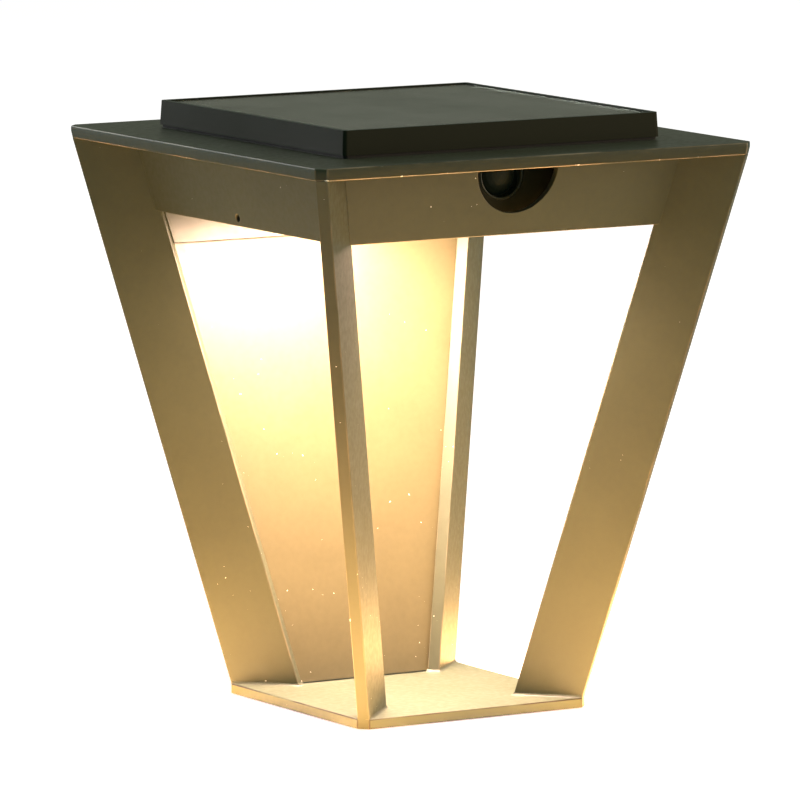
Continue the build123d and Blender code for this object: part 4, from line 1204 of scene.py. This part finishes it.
# Finishes of the CAD nodes that stay as they are
def boardFinish(name, mask, copper):  # solder mask with faint tracks below it
    material, tree, shader = startMaterial(name, Roughness=0.35)
    tracks = addNode(tree, "TexBrick", {"Vector": objectPlace(tree), "Scale": 260.0,
                                        "Mortar Size": 0.05})["Fac"]
    grain = placeGroup(tree, "mould", Plastic_Colour=mask, Roughness=0.35, Variation=0.1)
    colour = addMix(tree, times(tree, tracks, 0.5), grain["Colour"], copper)
    feedAll(tree, shader, Base_Color=colour)
    addBump(tree, shader, tracks, 0.3, 0.04)
    return material


def sleeveFinish(name, left, right):  # two colours of sleeve, one on each side of the lamp's middle
    material, tree, shader = startMaterial(name)
    x = addNode(tree, "SeparateXYZ", {0: objectPlace(tree)})["X"]
    sleeve = addMix(tree, addMath(tree, "GREATER_THAN", x, 0.0), left, right)
    grain = placeGroup(tree, "mould", Plastic_Colour=sleeve, Roughness=0.4, Variation=0.1)
    feedAll(tree, shader, Base_Color=grain["Colour"], Roughness=grain["Roughness"])
    addBump(tree, shader, grain["Height"], 0.3, 0.03)
    return material


def diodeFinish(name, phosphor):
    material, tree, shader = startMaterial(name, Roughness=0.4, Emission_Strength=3.0)
    grain = placeGroup(tree, "mould", Plastic_Colour=phosphor, Roughness=0.35, Variation=0.1)
    feedAll(tree, shader, Base_Color=grain["Colour"], Emission_Color=grain["Colour"])
    return material


keptNodes = {
    # the back panel takes the lighter copy of the coat, painted light
    ("back_panel",): finishes["panelCoatPaintedLight"],
    ("locking_grub_screws",): finishes["grubSteel"],
    ("hanger_screws", "led_board_screws", "main_board_screws"): finishes["screwSteel"],
    ("module_seal", "cover_seal"):
        mouldedPlastic("sealRubber", (0.012, 0.012, 0.012, 1), 0.7, 0.3),
    ("bottom_cover",): finishes["coverPlastic"],
    ("solar_cells",): makeCellFinish(cellLook),
    ("solar_board", "main_board", "sensor_board", "button_board"):
        boardFinish("greenBoard", (0.01, 0.06, 0.025, 1), (0.05, 0.16, 0.05, 1)),
    ("led_board",): boardFinish("whiteBoard", (0.75, 0.75, 0.72, 1), (0.62, 0.62, 0.58, 1)),
    ("leds",): diodeFinish("diodePhosphor", (0.85, 0.62, 0.16, 1)),
    ("reflector", "carrier", "battery_holder"):
        mouldedPlastic("whitePlastic", (0.72, 0.72, 0.69, 1), 0.5, 0.5),
    ("battery_cells",): mouldedPlastic("batterySleeve", (0.02, 0.13, 0.24, 1), 0.3, 0.5, 0.06),
    ("battery_tabs",): platedSteel("tabNickel", (0.66, 0.64, 0.6, 1), 0.3),
    ("sensor_can",): platedSteel("sensorCanSteel", (0.55, 0.52, 0.44, 1), 0.25),
    ("board_parts", "button_switch", "switch_plunger"):
        mouldedPlastic("componentBlack", (0.02, 0.02, 0.022, 1), 0.45, 0.5),
    ("battery_leads", "solar_leads", "led_leads"):
        sleeveFinish("wireSleeve", (0.02, 0.02, 0.02, 1), (0.35, 0.02, 0.015, 1)),
}
for nodes, material in keptNodes.items():
    for node in nodes:
        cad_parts[node].data.materials.clear()
        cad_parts[node].data.materials.append(material)
print("kept nodes finished")
